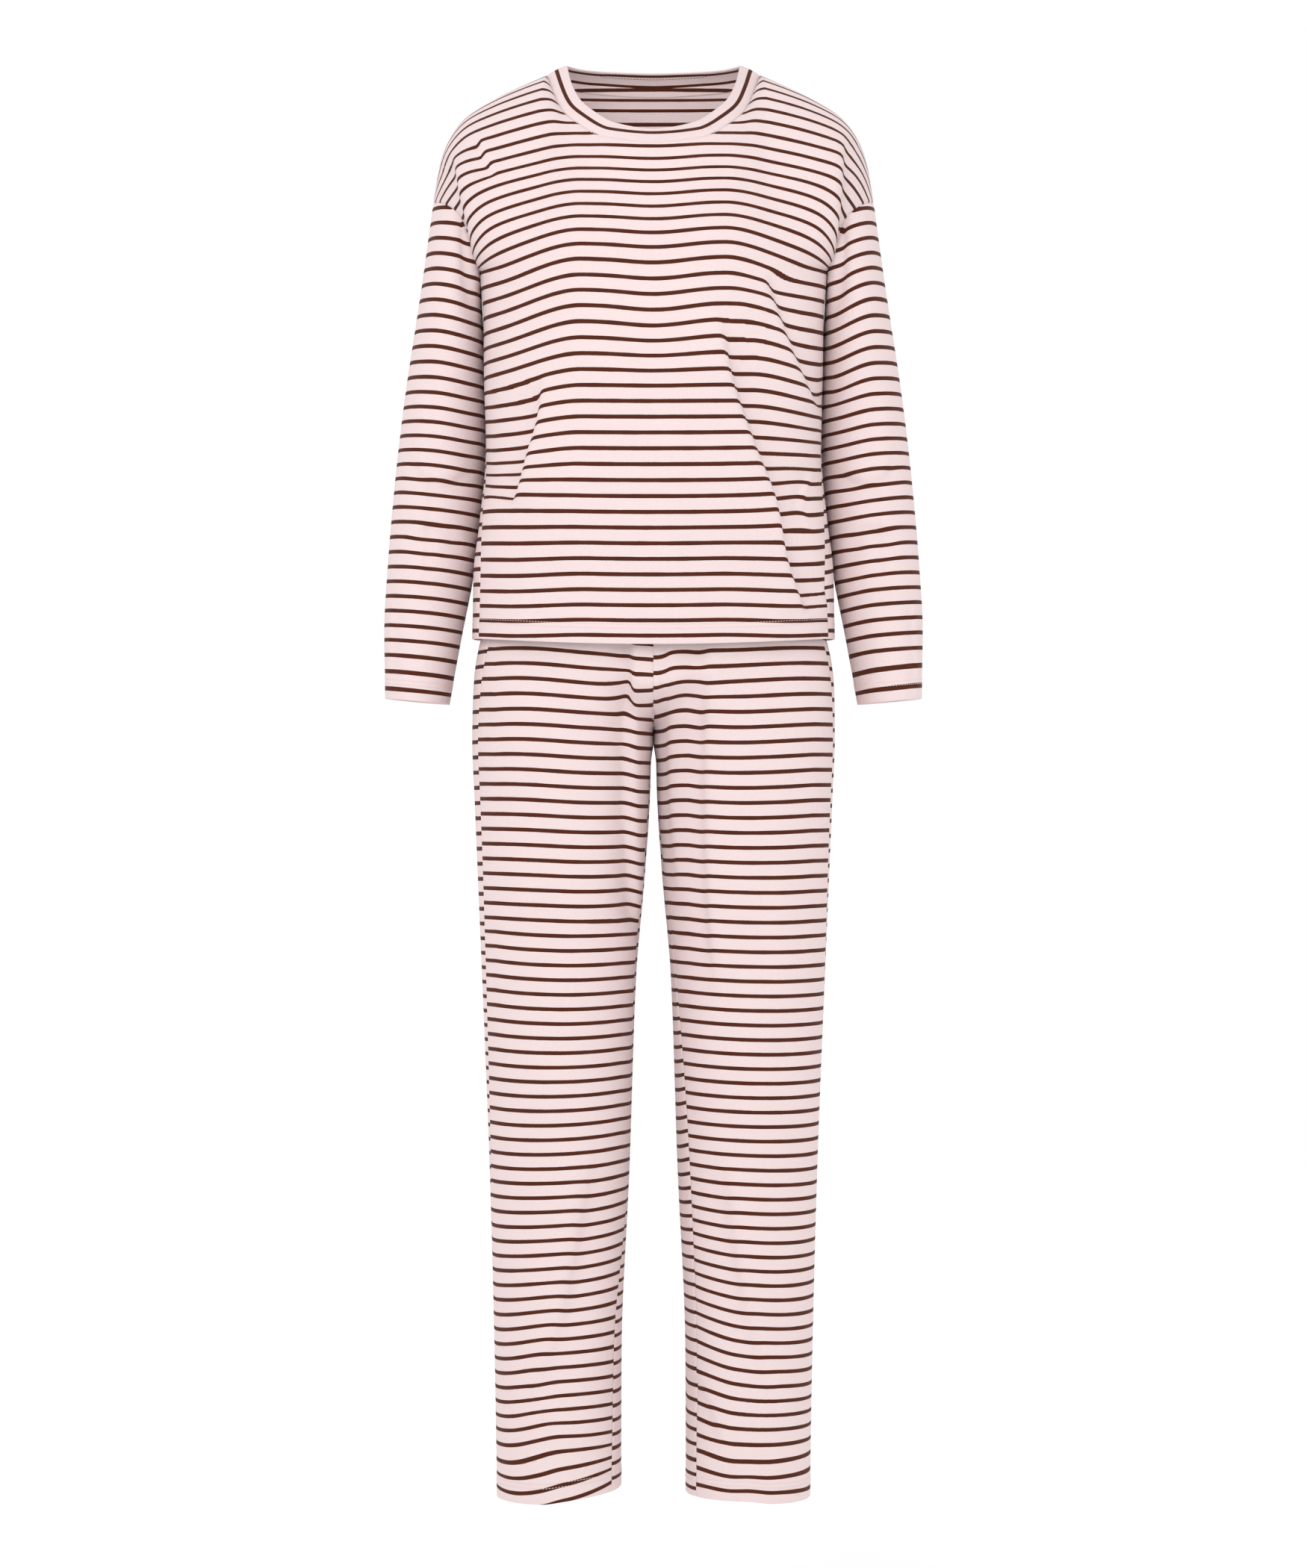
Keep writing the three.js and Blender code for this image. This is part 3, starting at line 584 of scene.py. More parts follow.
def smooth_path(points):
    """Catmull-Rom curve through points, with its headings and its share from start to end."""
    points = np.array(points, float)
    padded = np.vstack([2 * points[0] - points[1], points, 2 * points[-1] - points[-2]])
    at = np.linspace(0, len(points) - 1, FOLD_SAMPLES)
    i = np.minimum(at.astype(int), len(points) - 2)
    t = (at - i)[:, None]
    a, b, c, d = (padded[i + k] for k in range(4))
    bend, twist = 2 * a - 5 * b + 4 * c - d, 3 * b - a - 3 * c + d
    place = 0.5 * (2 * b + (c - a) * t + bend * t**2 + twist * t**3)
    heading = np.gradient(place, axis=0)
    heading /= np.linalg.norm(heading, axis=1, keepdims=True)
    return place, heading, np.linspace(0, 1, FOLD_SAMPLES)


def fold_effect(grid, fold):
    """Height of one fold over a grid, and the length of cloth that it takes up."""
    place, heading, along = smooth_path(fold.path)
    spot = grid[..., [0, 2]].reshape(-1, 1, 2)
    away = np.linalg.norm(spot - place, axis=-1)
    nearest = away.argmin(axis=1)
    offset = spot[:, 0] - place[nearest]
    side = heading[nearest, 0] * offset[:, 1] - heading[nearest, 1] * offset[:, 0]
    away = away[np.arange(len(away)), nearest]
    share = along[nearest]
    ends = smooth(share, 0, fold.ends) * smooth(1 - share, 0, fold.ends)
    depth = grid[..., 1].reshape(-1)
    facing = smooth(-depth if fold.face == "front" else depth, 0, 2 * fold.spread)
    turn = np.tanh(side / fold.edge)
    height = np.where(side > 0, fold.lip, fold.sink) * turn * np.exp(-((away / fold.spread) ** 2))
    taken = fold.takes * (1 - turn) / 2 * np.exp(-((np.maximum(away, 0) / fold.carry) ** 2))
    shape = grid.shape[:2]
    return (height * ends * facing).reshape(shape), (taken * ends * facing).reshape(shape)


def fold_all(cloths):
    share_normals(cloths)
    moves = []
    for cloth in cloths:
        height = np.zeros(cloth.grid.shape[:2])
        for fold in cloth.folds:
            rise, taken = fold_effect(cloth.grid, fold)
            height += rise
            cloth.shift += taken
        moves.append(height)
    for cloth, height in zip(cloths, moves):
        cloth.grid = cloth.grid + cloth.normals * height[..., None]
    share_normals(cloths)


SEAM_DEPTH = 0.75
SEAM_ROLL = 1.3


def sink_seams(cloth, top=True, sides=True, at_arm=False):
    """The cloth rolls into its seams, but not where the arm and the body press them flat."""
    depth = np.zeros(cloth.grid.shape[:2])
    if sides:
        z = cloth.grid[..., 2]
        pressed = smooth(z, -520, -440) * (1 - smooth(z, ARMPIT, ARMPIT + 30)) if at_arm else 0
        roll = np.exp(-((cloth.to_sides() / SEAM_ROLL) ** 2))
        depth = np.maximum(depth, SEAM_DEPTH * (1 - pressed) * roll)
    if top:
        depth = np.maximum(depth, SEAM_DEPTH * np.exp(-((cloth.last / SEAM_ROLL) ** 2)))
    cloth.inward += depth


def both_faces(cloth, wall, hem=0.0, allowance=0.8):
    """Outer and inner grid of a cloth wall: doubled over its hem, with allowances at its seams."""
    thick = np.full(cloth.grid.shape[:2], wall)
    outer = cloth.grid - cloth.normals * cloth.inward[..., None]
    if hem:
        doubled = 1 - smooth(cloth.up, hem - 0.6, hem + 0.6)
        ridge = np.exp(-(((cloth.up - hem + 2.4) / 1.5) ** 2))
        thick = wall * (1 + 0.75 * doubled)
        outer = outer + cloth.normals * (0.32 * doubled - 0.22 * ridge)[..., None]
        roll = thick / 2
        near = np.minimum(cloth.up, roll) / roll
        round_off = np.sqrt(np.maximum(1 - (1 - near) ** 2, 0.004))
        outer = outer - cloth.normals * (thick * (1 - round_off) / 2)[..., None]
        thick = thick * round_off
    seams = np.zeros_like(thick) if cloth.wrap else 1 - smooth(cloth.to_sides(), 5.0, 6.2)
    fade = smooth(cloth.up, 0, 4)
    thick = thick + allowance * seams * fade
    return outer, outer - cloth.normals * thick[..., None]


def top_grid(face):
    across = 1 if face == "front" else -1
    shares = across * np.concatenate([-REACH[:0:-1], REACH])
    reach = np.abs(shares)[None, :]
    lower = body_point(BODY_ROWS[:, None], reach, face)
    upper = yoke_point(RISE[1:, None], reach, face)
    grid = np.concatenate([lower, upper], axis=0)
    grid[..., 0] *= np.sign(shares)[None, :]
    return grid


def sleeve_grid():
    turns = arm_turn(RISE)
    around = np.concatenate([turns, 360 - turns[-2:0:-1]])
    return sleeve_point(SLEEVE_RISE[:, None], around[None, :])


def neckband_grid():
    front = np.concatenate([-NECK_REACH[:0:-1], NECK_REACH])
    rows = []
    for face, shares in (("front", front), ("back", front[1:-1])):
        reach = np.abs(shares)
        seam, edge = neck_point(reach, face, "seam"), neck_point(reach, face, "edge")
        sign = np.sign(shares) * (1 if face == "front" else -1)
        band = mix(seam[None], edge[None], BAND_RISE[:, None, None])
        band[..., 2] += NECKBAND_CROWN * np.sin(math.pi * BAND_RISE)[:, None]
        band[..., 0] *= sign[None, :]
        rows.append(band)
    return np.concatenate(rows, axis=1)


def trouser_grid(face, side):
    share = LEG_SHARE if face == "front" else LEG_SHARE[::-1]
    grid = trouser_point(LEG_ROWS[:, None], share[None, :], face, side)
    return grid if side == "left" else mirrored(grid)


def waistband_grid():
    parts = []
    heights = mix(WAISTBAND_FOOT, WAISTBAND_TOP, WAIST_RISE)[:, None]
    for face, side in (("front", "left"), ("back", "left"), ("back", "right"), ("front", "right")):
        share = LEG_SHARE if face == "front" else LEG_SHARE[::-1]
        part = trouser_point(heights, share[None, :], face, side)
        parts.append((part if side == "left" else mirrored(part))[:, :-1])
    return np.concatenate(parts, axis=1)


def front_droop(x, z):
    """How much lower the stripes of the front lie: at the sides, at the breastbone and low down."""
    row = FRONT_DROOP(z)
    start = DROOP_START + 28 * smooth(-z, 200, 290) * (x > 0)
    side = smooth(np.abs(x), start, DROOP_END)
    hollow = 4.5 * np.exp(-((x / 40) ** 2)) - 1.8 * np.exp(-(((x - 66) / 32) ** 2))
    dip = hollow * smooth(z, -345, -240) * (1 - smooth(z, -90, -50))
    hem = 4 * smooth(np.abs(x), 60, 150) * (1 - smooth(z, -520, -430))
    return np.where(x < 0, row["right"], row["left"]) * side + dip + hem + FRONT_EASE(z)["down"]


def leg_bend(grid, side):
    """A parabola through the shifts at the inseam, the middle of the leg and the side seam."""
    row = LEG_BEND(grid[..., 2])
    near = np.clip(np.abs(grid[..., 0]), BEND_IN - 8, BEND_OUT + 18)
    inner = (near - BEND_MIDDLE) * (near - BEND_OUT)
    inner = inner / ((BEND_IN - BEND_MIDDLE) * (BEND_IN - BEND_OUT))
    outer = (near - BEND_IN) * (near - BEND_MIDDLE)
    outer = outer / ((BEND_OUT - BEND_IN) * (BEND_OUT - BEND_MIDDLE))
    return row[side + "_in"] * inner + row[side + "_out"] * outer


def trouser_droop(grid, face, side):
    """How much lower the stripes of a trouser panel lie than at the middle of the leg."""
    x, z = grid[..., 0], grid[..., 2]
    near = np.abs(x)
    hip = 1 - smooth(-z, 640, 860)
    low = smooth(-z, 1180, 1340)
    if face == "back":
        strip = 1 - smooth(near, 18, 46)
        fade = smooth(-z, 740, 800) * (1 - smooth(-z, 1080, 1250))
        return 3 + 9 * strip * fade + 2 * smooth(near, 150, 180)
    if side == "right":
        return hip * (9 - 9 * smooth(near, 20, 170)) + low * 9 * smooth(near, 90, 150)
    centre = hip * 6 * np.exp(-((near / 16) ** 2))
    return centre + hip * (7 - 9 * smooth(near, 30, 165)) - low * 5 * (1 - smooth(near, 40, 80))


@functools.lru_cache(maxsize=1)
def top_cloths():
    """The top's panels and sleeves, folded, with the seams between them closed."""
    mirror = [
        fold._replace(path=tuple((-x, z) for x, z in reversed(fold.path))) for fold in SLEEVE_FOLDS
    ]
    folds = (*TOP_FOLDS, *SLEEVE_FOLDS, *mirror)
    front, back = (Cloth("top_" + face, top_grid(face), folds) for face in ("front", "back"))
    left = Cloth("sleeve_left", sleeve_grid(), folds, wrap=True)
    right = Cloth("sleeve_right", np.roll(mirrored(sleeve_grid()), 1, axis=1), folds, wrap=True)
    front.shift += front_droop(front.grid[..., 0], front.grid[..., 2])
    back.shift += BACK_EASE(back.grid[..., 2])["down"]
    for cloth, side, share in ((left, "left", 1.0), (right, "right", 0.4)):
        x, z = cloth.grid[..., 0], cloth.grid[..., 2]
        inner = 1 - smooth(np.abs(x), 176, 222)
        cloth.shift += share * inner * (3 + 8 * smooth(z, -420, -200)) + SLEEVE_EASE(z)[side]
    cloths = {cloth.name: cloth for cloth in (front, back, left, right)}
    fold_all(list(cloths.values()))
    for cloth in cloths.values():
        sink_seams(cloth, at_arm=True)
    return cloths


@functools.lru_cache(maxsize=1)
def trouser_cloths():
    """The trousers' four panels and the waistband, folded, with the seams between them closed."""
    cloths = {}
    for face, side in (("front", "left"), ("back", "left"), ("back", "right"), ("front", "right")):
        cloth = Cloth(f"trouser_{face}_{side}", trouser_grid(face, side), TROUSER_FOLDS)
        cloth.cut = LEG_CLOTH(cloth.grid[..., 2])["length"]
        cloth.shift += trouser_droop(cloth.grid, face, side) + LEG_EASE(cloth.grid[..., 2])[side]
        if face == "front":
            cloth.shift += leg_bend(cloth.grid, side)
        hang = 1 - smooth(cloth.grid[..., 2], TROUSER_HEM, TROUSER_HEM + TILT_HEIGHT)
        cloth.grid[..., 2] -= HEM_TILT(cloth.grid[..., 0])["down"] * hang
        cloths[cloth.name] = cloth
    band = Cloth("waistband", waistband_grid(), TROUSER_FOLDS, wrap=True)
    cloths[band.name] = band
    for cloth in cloths.values():
        gather(cloth)
    fold_all(list(cloths.values()))
    for cloth in cloths.values():
        sink_seams(cloth, sides=not cloth.wrap)
    return cloths


def gather(cloth):
    """The elastic draws the cloth into small upright ripples that run out below it."""
    x, y, z = np.moveaxis(cloth.grid, -1, 0)
    around = np.arctan2(x, -y)
    ripple = np.sin(58 * around + 1.3 * np.sin(7 * around)) + 0.5 * np.sin(97 * around + 0.8)
    height = 0.9 * ripple * smooth(z, WAISTBAND_FOOT - 55, WAISTBAND_FOOT - 4)
    outward = np.stack([x, y, np.zeros_like(x)], axis=-1)
    outward /= np.linalg.norm(outward, axis=-1, keepdims=True)
    cloth.grid = cloth.grid + outward * height[..., None]


# Meshes

BAND_THICKNESS = 2.0
WAISTBAND_THICKNESS = 2.4

# The tape's share of the back neck, and its edges below the seam
TAPE_THICKNESS, TAPE_REACH, TAPE_FOOT, TAPE_TOP = 0.8, 0.86, 10.5, 0.8


def wall_mesh(name, outer, inner, across, cut, wrap, turned=None):
    """A closed wall between two grids. across and cut are its map on the flat cloth."""
    rows, columns = outer.shape[:2]
    map_columns = across.shape[1]
    spans = columns if wrap else columns - 1
    row = np.arange(rows - 1)[:, None]
    span = np.arange(spans)[None, :]
    half = rows * columns

    def corners(steps, offset):
        spots = [((row + up) * columns + (span + side) % columns + offset) for up, side in steps]
        marks = [((row + up) * map_columns + span + side) for up, side in steps]
        shape = (rows - 1, spans)
        spots = np.stack([np.broadcast_to(s, shape) for s in spots], -1).reshape(-1, 4)
        marks = np.stack([np.broadcast_to(m, shape) for m in marks], -1).reshape(-1, 4)
        return spots, marks

    faces, marks, backs = [], [], []

    def add(spots, places, back):
        faces.append(spots)
        marks.append(places)
        backs.append(np.full(len(spots), back))

    add(*corners(((0, 0), (0, 1), (1, 1), (1, 0)), 0), False)
    add(*corners(((0, 0), (1, 0), (1, 1), (0, 1)), half), True)
    line = np.arange(spans)
    for at, order in ((0, (0, 1)), (rows - 1, (1, 0))):
        a, b = (at * columns + (line + k) % columns for k in order)
        c, d = (at * map_columns + line + k for k in order)
        add(np.stack([a, a + half, b + half, b], -1), np.stack([c, c, d, d], -1), False)
    if not wrap:
        line = np.arange(rows - 1)
        for at, order in ((0, (1, 0)), (columns - 1, (0, 1))):
            a, b = ((line + k) * columns + at for k in order)
            c, d = ((line + k) * map_columns + at for k in order)
            add(np.stack([a, a + half, b + half, b], -1), np.stack([c, c, d, d], -1), False)
    faces, marks, backs = np.concatenate(faces), np.concatenate(marks), np.concatenate(backs)
    points = np.concatenate([outer.reshape(-1, 3), inner.reshape(-1, 3)]) * MM
    mesh = bpy.data.meshes.new(name)
    mesh.from_pydata(points.tolist(), [], faces.tolist())
    flat = np.stack([across, np.broadcast_to(cut, across.shape)], -1).reshape(-1, 2) * MM
    values = flat[marks.reshape(-1)]
    if turned is not None:
        values[np.repeat(backs, 4), 1] = turned * MM - values[np.repeat(backs, 4), 1]
    layer = mesh.uv_layers.new(name="cut")
    layer.data.foreach_set("uv", values.astype(np.float32).reshape(-1))
    mesh.shade_smooth()
    mesh.update()
    return mesh


def placed(name, mesh, finish):
    mesh.materials.clear()
    mesh.materials.append(finish)
    piece = bpy.data.objects.new(name, mesh)
    bpy.context.scene.collection.objects.link(piece)
    return piece


def map_columns(cloth, values):
    """Values of a tube's columns, with the first one again at the end."""
    return np.concatenate([values, values[:, :1]], axis=1) if cloth.wrap else values


def cloth_mesh(cloth, wall, hem=0.0, turned=None):
    outer, inner = both_faces(cloth, wall, hem)
    cloth.outer, cloth.inner = outer, inner
    cut = map_columns(cloth, cloth.cut + cloth.shift)
    middle = cloth.across.max(axis=1, keepdims=True) / 2
    return wall_mesh(cloth.name, outer, inner, cloth.across - middle, cut, cloth.wrap, turned)


@functools.lru_cache(maxsize=1)
def neckband_cloth():
    """The folded band: sunk at its seam, full in its middle and round at its free edge."""
    band = Cloth("neckband", neckband_grid(), wrap=True)
    band.normals = normals_of(band.grid, True)
    sunk = 0.55 * np.exp(-((band.up / 1.1) ** 2))
    near = np.minimum(band.last, BAND_THICKNESS / 2) / (BAND_THICKNESS / 2)
    thick = BAND_THICKNESS * np.sqrt(np.maximum(1 - (1 - near) ** 2, 0.004))
    crown = 0.25 * np.sin(math.pi * np.clip(band.up / band.up[-1:], 0, 1))
    lift = crown - sunk - (BAND_THICKNESS - thick) / 2
    band.outer = band.grid + band.normals * lift[..., None]
    band.inner = band.outer - band.normals * thick[..., None]
    return band


def hand_over(piece, slot, *nodes):
    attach(piece, "root")
    if nodes:
        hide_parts(*nodes)


def line_on(cloth, surface, distance, lift=0.12, from_top=False):
    """Points of a piece at one distance from its lower or upper edge, a little proud of it."""
    measure = cloth.last if from_top else cloth.up
    points = []
    distances = np.broadcast_to(distance, surface.shape[1])
    for column in range(surface.shape[1]):
        lengths_here = measure[:, column]
        values = (surface + cloth.normals * lift)[:, column]
        if from_top:
            lengths_here, values = lengths_here[::-1], values[::-1]
        points.append(
            [np.interp(distances[column], lengths_here, values[:, axis]) for axis in range(3)])
    return np.array(points)


# Stitches

def tree_inputs(tree, sockets):
    found = {}
    for name, kind, value in sockets:
        socket = tree.interface.new_socket(name=name, in_out="INPUT", socket_type=kind)
        if value is not None:
            socket.default_value = value
        found[name] = socket.identifier
    return found


def stitch_tree():
    """Stitches of one size in rows along the edges of a mesh."""
    tree = bpy.data.node_groups.new("Stitch rows", "GeometryNodeTree")
    ids = tree_inputs(tree, (
        ("Rows", "NodeSocketGeometry", None),
        ("Pitch", "NodeSocketFloat", 0.003),
        ("Length", "NodeSocketFloat", 0.0024),
        ("Thickness", "NodeSocketFloat", 0.0006),
        ("Unevenness", "NodeSocketFloat", 0.12),
        ("Seed", "NodeSocketInt", 7),
        ("Thread", "NodeSocketMaterial", None),
    ))
    tree.interface.new_socket(name="Stitches", in_out="OUTPUT", socket_type="NodeSocketGeometry")
    nodes, links = tree.nodes, tree.links

    def node(kind, settings=None, **sockets):
        made = nodes.new(kind)
        for key, value in (settings or {}).items():
            setattr(made, key, value)
        for key, value in sockets.items():
            socket = made.inputs[key.replace("_", " ")]
            if isinstance(value, bpy.types.NodeSocket):
                links.new(value, socket)
            else:
                socket.default_value = value
        return made

    given = nodes.new("NodeGroupInput").outputs
    curve = node("GeometryNodeMeshToCurve", Mesh=given["Rows"]).outputs["Curve"]
    spots = node(
        "GeometryNodeCurveToPoints", {"mode": "LENGTH"}, Curve=curve, Length=given["Pitch"])
    ball = node("GeometryNodeMeshUVSphere", Segments=6, Rings=4, Radius=0.5).outputs["Mesh"]
    size = node(
        "ShaderNodeCombineXYZ", X=given["Length"], Y=given["Thickness"], Z=given["Thickness"]
    ).outputs["Vector"]
    stitch = node("GeometryNodeTransform", Geometry=ball, Scale=size).outputs["Geometry"]
    smooth_stitch = node("GeometryNodeSetShadeSmooth", Geometry=stitch).outputs["Geometry"]
    turn = node(
        "FunctionNodeAlignRotationToVector", {"axis": "X"}, Vector=spots.outputs["Tangent"]
    ).outputs["Rotation"]
    least = node("ShaderNodeMath", {"operation": "SUBTRACT"})
    least.inputs[0].default_value = 1
    links.new(given["Unevenness"], least.inputs[1])
    uneven = node("FunctionNodeRandomValue", {"data_type": "FLOAT"})
    links.new(least.outputs[0], uneven.inputs[2])
    uneven.inputs[3].default_value = 1
    links.new(given["Seed"], uneven.inputs["Seed"])
    rows = node(
        "GeometryNodeInstanceOnPoints", Points=spots.outputs["Points"], Instance=smooth_stitch,
        Rotation=turn, Scale=uneven.outputs[1],
    ).outputs["Instances"]
    real = node("GeometryNodeRealizeInstances", Geometry=rows).outputs["Geometry"]
    done = node("GeometryNodeSetMaterial", Geometry=real, Material=given["Thread"])
    out = nodes.new("NodeGroupOutput")
    links.new(done.outputs["Geometry"], out.inputs[0])
    return tree, ids


def stitch_rows(name, paths, thread, sizes, seed):
    """A plain mesh of stitches along paths, each a pair of points and whether it closes."""
    points, edges = [], []
    for path, closed in paths:
        first = len(points)
        points.extend((np.asarray(path) * MM).tolist())
        edges.extend((first + i, first + i + 1) for i in range(len(path) - 1))
        if closed:
            edges.append((first + len(path) - 1, first))
    guide = bpy.data.meshes.new(name + "_guide")
    guide.from_pydata(points, edges, [])
    piece = bpy.data.objects.new(name, guide)
    bpy.context.scene.collection.objects.link(piece)
    tree, ids = stitch_tree()
    modifier = piece.modifiers.new("Stitches", "NODES")
    modifier.node_group = tree
    for key, value in (
        ("Pitch", sizes.stitch_pitch), ("Length", sizes.stitch_length),
        ("Thickness", sizes.thread_thickness), ("Seed", seed), ("Thread", thread),
    ):
        modifier[ids[key]] = value
    bpy.context.view_layer.update()
    evaluated = piece.evaluated_get(bpy.context.evaluated_depsgraph_get())
    mesh = bpy.data.meshes.new_from_object(evaluated)
    if not mesh.polygons:
        raise RuntimeError(name + ": no stitches were made")
    piece.modifiers.remove(modifier)
    piece.data = mesh
    mesh.name = name
    bpy.data.meshes.remove(guide)
    bpy.data.node_groups.remove(tree)
    return piece


# Finishes

class Number:
    """A socket with a number. Operators on it add Math nodes."""

    def __init__(self, finish, socket):
        self.finish, self.socket = finish, socket

    def _math(self, operation, *values):
        node = self.finish.tree.nodes.new("ShaderNodeMath")
        node.operation = operation
        for socket, value in zip(node.inputs, values):
            self.finish.put(socket, value)
        return Number(self.finish, node.outputs[0])

    def __add__(self, other):
        return self._math("ADD", self, other)

    __radd__ = __add__

    def __sub__(self, other):
        return self._math("SUBTRACT", self, other)

    def __rsub__(self, other):
        return self._math("SUBTRACT", other, self)

    def __mul__(self, other):
        return self._math("MULTIPLY", self, other)

    __rmul__ = __mul__

    def __truediv__(self, other):
        return self._math("DIVIDE", self, other)

    def __abs__(self):
        return self._math("ABSOLUTE", self)

    def fraction(self):
        return self._math("FRACT", self)

    def cosine(self):
        return self._math("COSINE", self)

    def between(self, low, high):
        """0 below low and 1 above high, with a soft step between them."""
        node = self.finish.tree.nodes.new("ShaderNodeMapRange")
        node.interpolation_type = "SMOOTHSTEP"
        self.finish.put(node.inputs["Value"], self)
        node.inputs["From Min"].default_value = low
        node.inputs["From Max"].default_value = high
        return Number(self.finish, node.outputs["Result"])


class Finish:
    """A material's nodes."""

    def __init__(self, name):
        self.material = bpy.data.materials.new(name)
        self.material.use_nodes = True
        self.tree = self.material.node_tree
        self.shader = self.tree.nodes["Principled BSDF"]

    def put(self, socket, value):
        if isinstance(value, Number):
            value = value.socket
        if isinstance(value, bpy.types.NodeSocket):
            self.tree.links.new(value, socket)
        else:
            socket.default_value = value

    def node(self, kind, settings=None, sockets=None):
        made = self.tree.nodes.new(kind)
        for key, value in (settings or {}).items():
            setattr(made, key, value)
        for key, value in (sockets or {}).items():
            self.put(made.inputs[key], value)
        return made

    def number(self, node, output):
        return Number(self, node.outputs[output])

    def noise(self, place, scale, detail=2.0, stretch=(1, 1, 1)):
        if stretch != (1, 1, 1):
            place = self.node(
                "ShaderNodeVectorMath", {"operation": "MULTIPLY"}, {0: place, 1: stretch}
            ).outputs["Vector"]
        made = self.node(
            "ShaderNodeTexNoise", None, {"Vector": place, "Scale": scale, "Detail": detail}
        )
        return self.number(made, "Fac")

    def blend(self, share, first, second):
        made = self.node("ShaderNodeMix", {"data_type": "RGBA"})
        self.put(made.inputs[0], share)
        self.put(made.inputs[6], first)
        self.put(made.inputs[7], second)
        return made.outputs[2]

    def bump(self, height, distance, strength=1.0, normal=None):
        sockets = {"Height": height, "Distance": distance, "Strength": strength}
        if normal is not None:
            sockets["Normal"] = normal
        return self.node("ShaderNodeBump", None, sockets).outputs["Normal"]


def knit(across, up, wale, course):
    """Height of a plain knit: columns of loops that lean to both sides in every row."""
    column = (across * (2 * math.pi / wale)).cosine()
    lean = abs((across / wale).fraction() - 0.5)
    row = ((up + lean * (course * 0.9)) * (2 * math.pi / course)).cosine()
    return column * 0.5 + row * 0.5


# How far a stripe's edge strays with single loops and along the row, and half its soft step
YARN_STEP, STRIPE_WANDER, EDGE_SOFTNESS = 0.00046, 0.00060, 0.00020


def shade(colour, factor):
    return tuple(min(1.0, value * factor) for value in colour[:3]) + (1.0,)


def jersey(name, sizes, colours, offset):
    """Fine single jersey with narrow stripes knitted in."""
    finish = Finish(name)
    place = finish.node("ShaderNodeUVMap", {"uv_map": "cut"}).outputs["UV"]
    parts = finish.node("ShaderNodeSeparateXYZ", None, {"Vector": place})
    across, up = finish.number(parts, "X"), finish.number(parts, "Y")
    yarn = finish.noise(place, 1500.0, 1.0, (1, 1.25, 1))
    wander = finish.noise(place, 75.0, 2.0, (0.6, 1, 1))
    cloud = finish.noise(place, 14.0, 3.0)
    heather = finish.noise(place, 700.0, 2.0, (0.35, 1, 1))

    repeat, width = sizes.stripe_repeat, sizes.stripe_width
    phase = ((up + (offset - repeat / 2)) / repeat).fraction()
    away = abs(phase - 0.5) * repeat
    edge = away + (yarn - 0.5) * YARN_STEP + (wander - 0.5) * STRIPE_WANDER
    stripe = 1 - edge.between(width / 2 - EDGE_SOFTNESS, width / 2 + EDGE_SOFTNESS)

    ground = finish.blend(cloud, shade(colours.ground, 0.975), shade(colours.ground, 1.02))
    ground = finish.blend(heather.between(0.35, 0.75) * 0.5, ground, shade(colours.ground, 0.93))
    line = finish.blend(heather, shade(colours.stripe, 0.85), shade(colours.stripe, 1.2))
    line = finish.blend(yarn.between(0.62, 0.8) * 0.3, line, shade(colours.stripe, 1.6))
    finish.put(finish.shader.inputs["Base Color"], finish.blend(stripe, ground, line))
    finish.put(finish.shader.inputs["Roughness"], 0.86 + (heather - 0.5) * 0.12)
    finish.shader.inputs["Sheen Weight"].default_value = 0.05
    finish.shader.inputs["Sheen Roughness"].default_value = 0.45
    finish.shader.inputs["Specular IOR Level"].default_value = 0.12

    loops = knit(across, up, sizes.wale, sizes.course)
    loft = finish.noise(place, 46.0, 3.0, (0.8, 1.3, 1))
    soft = finish.bump(loft, 0.0011, 0.5)
    fine = finish.bump(loops + yarn * 0.9 + stripe * 0.5, 0.00011, 0.75, soft)
    finish.put(finish.shader.inputs["Normal"], fine)
    return finish.material


def thread_finish(name, colour):
    """Spun sewing thread, twisted along each stitch."""
    finish = Finish(name)
    place = finish.node("ShaderNodeTexCoord").outputs["Object"]
    grain = finish.noise(place, 1600.0, 2.0)
    tone = finish.blend(grain, shade(colour, 0.9), shade(colour, 1.06))
    finish.put(finish.shader.inputs["Base Color"], tone)
    finish.put(finish.shader.inputs["Roughness"], 0.58 + grain * 0.16)
    finish.put(finish.shader.inputs["Normal"], finish.bump(grain, 0.0001, 0.6))
    return finish.material


# What a user may change

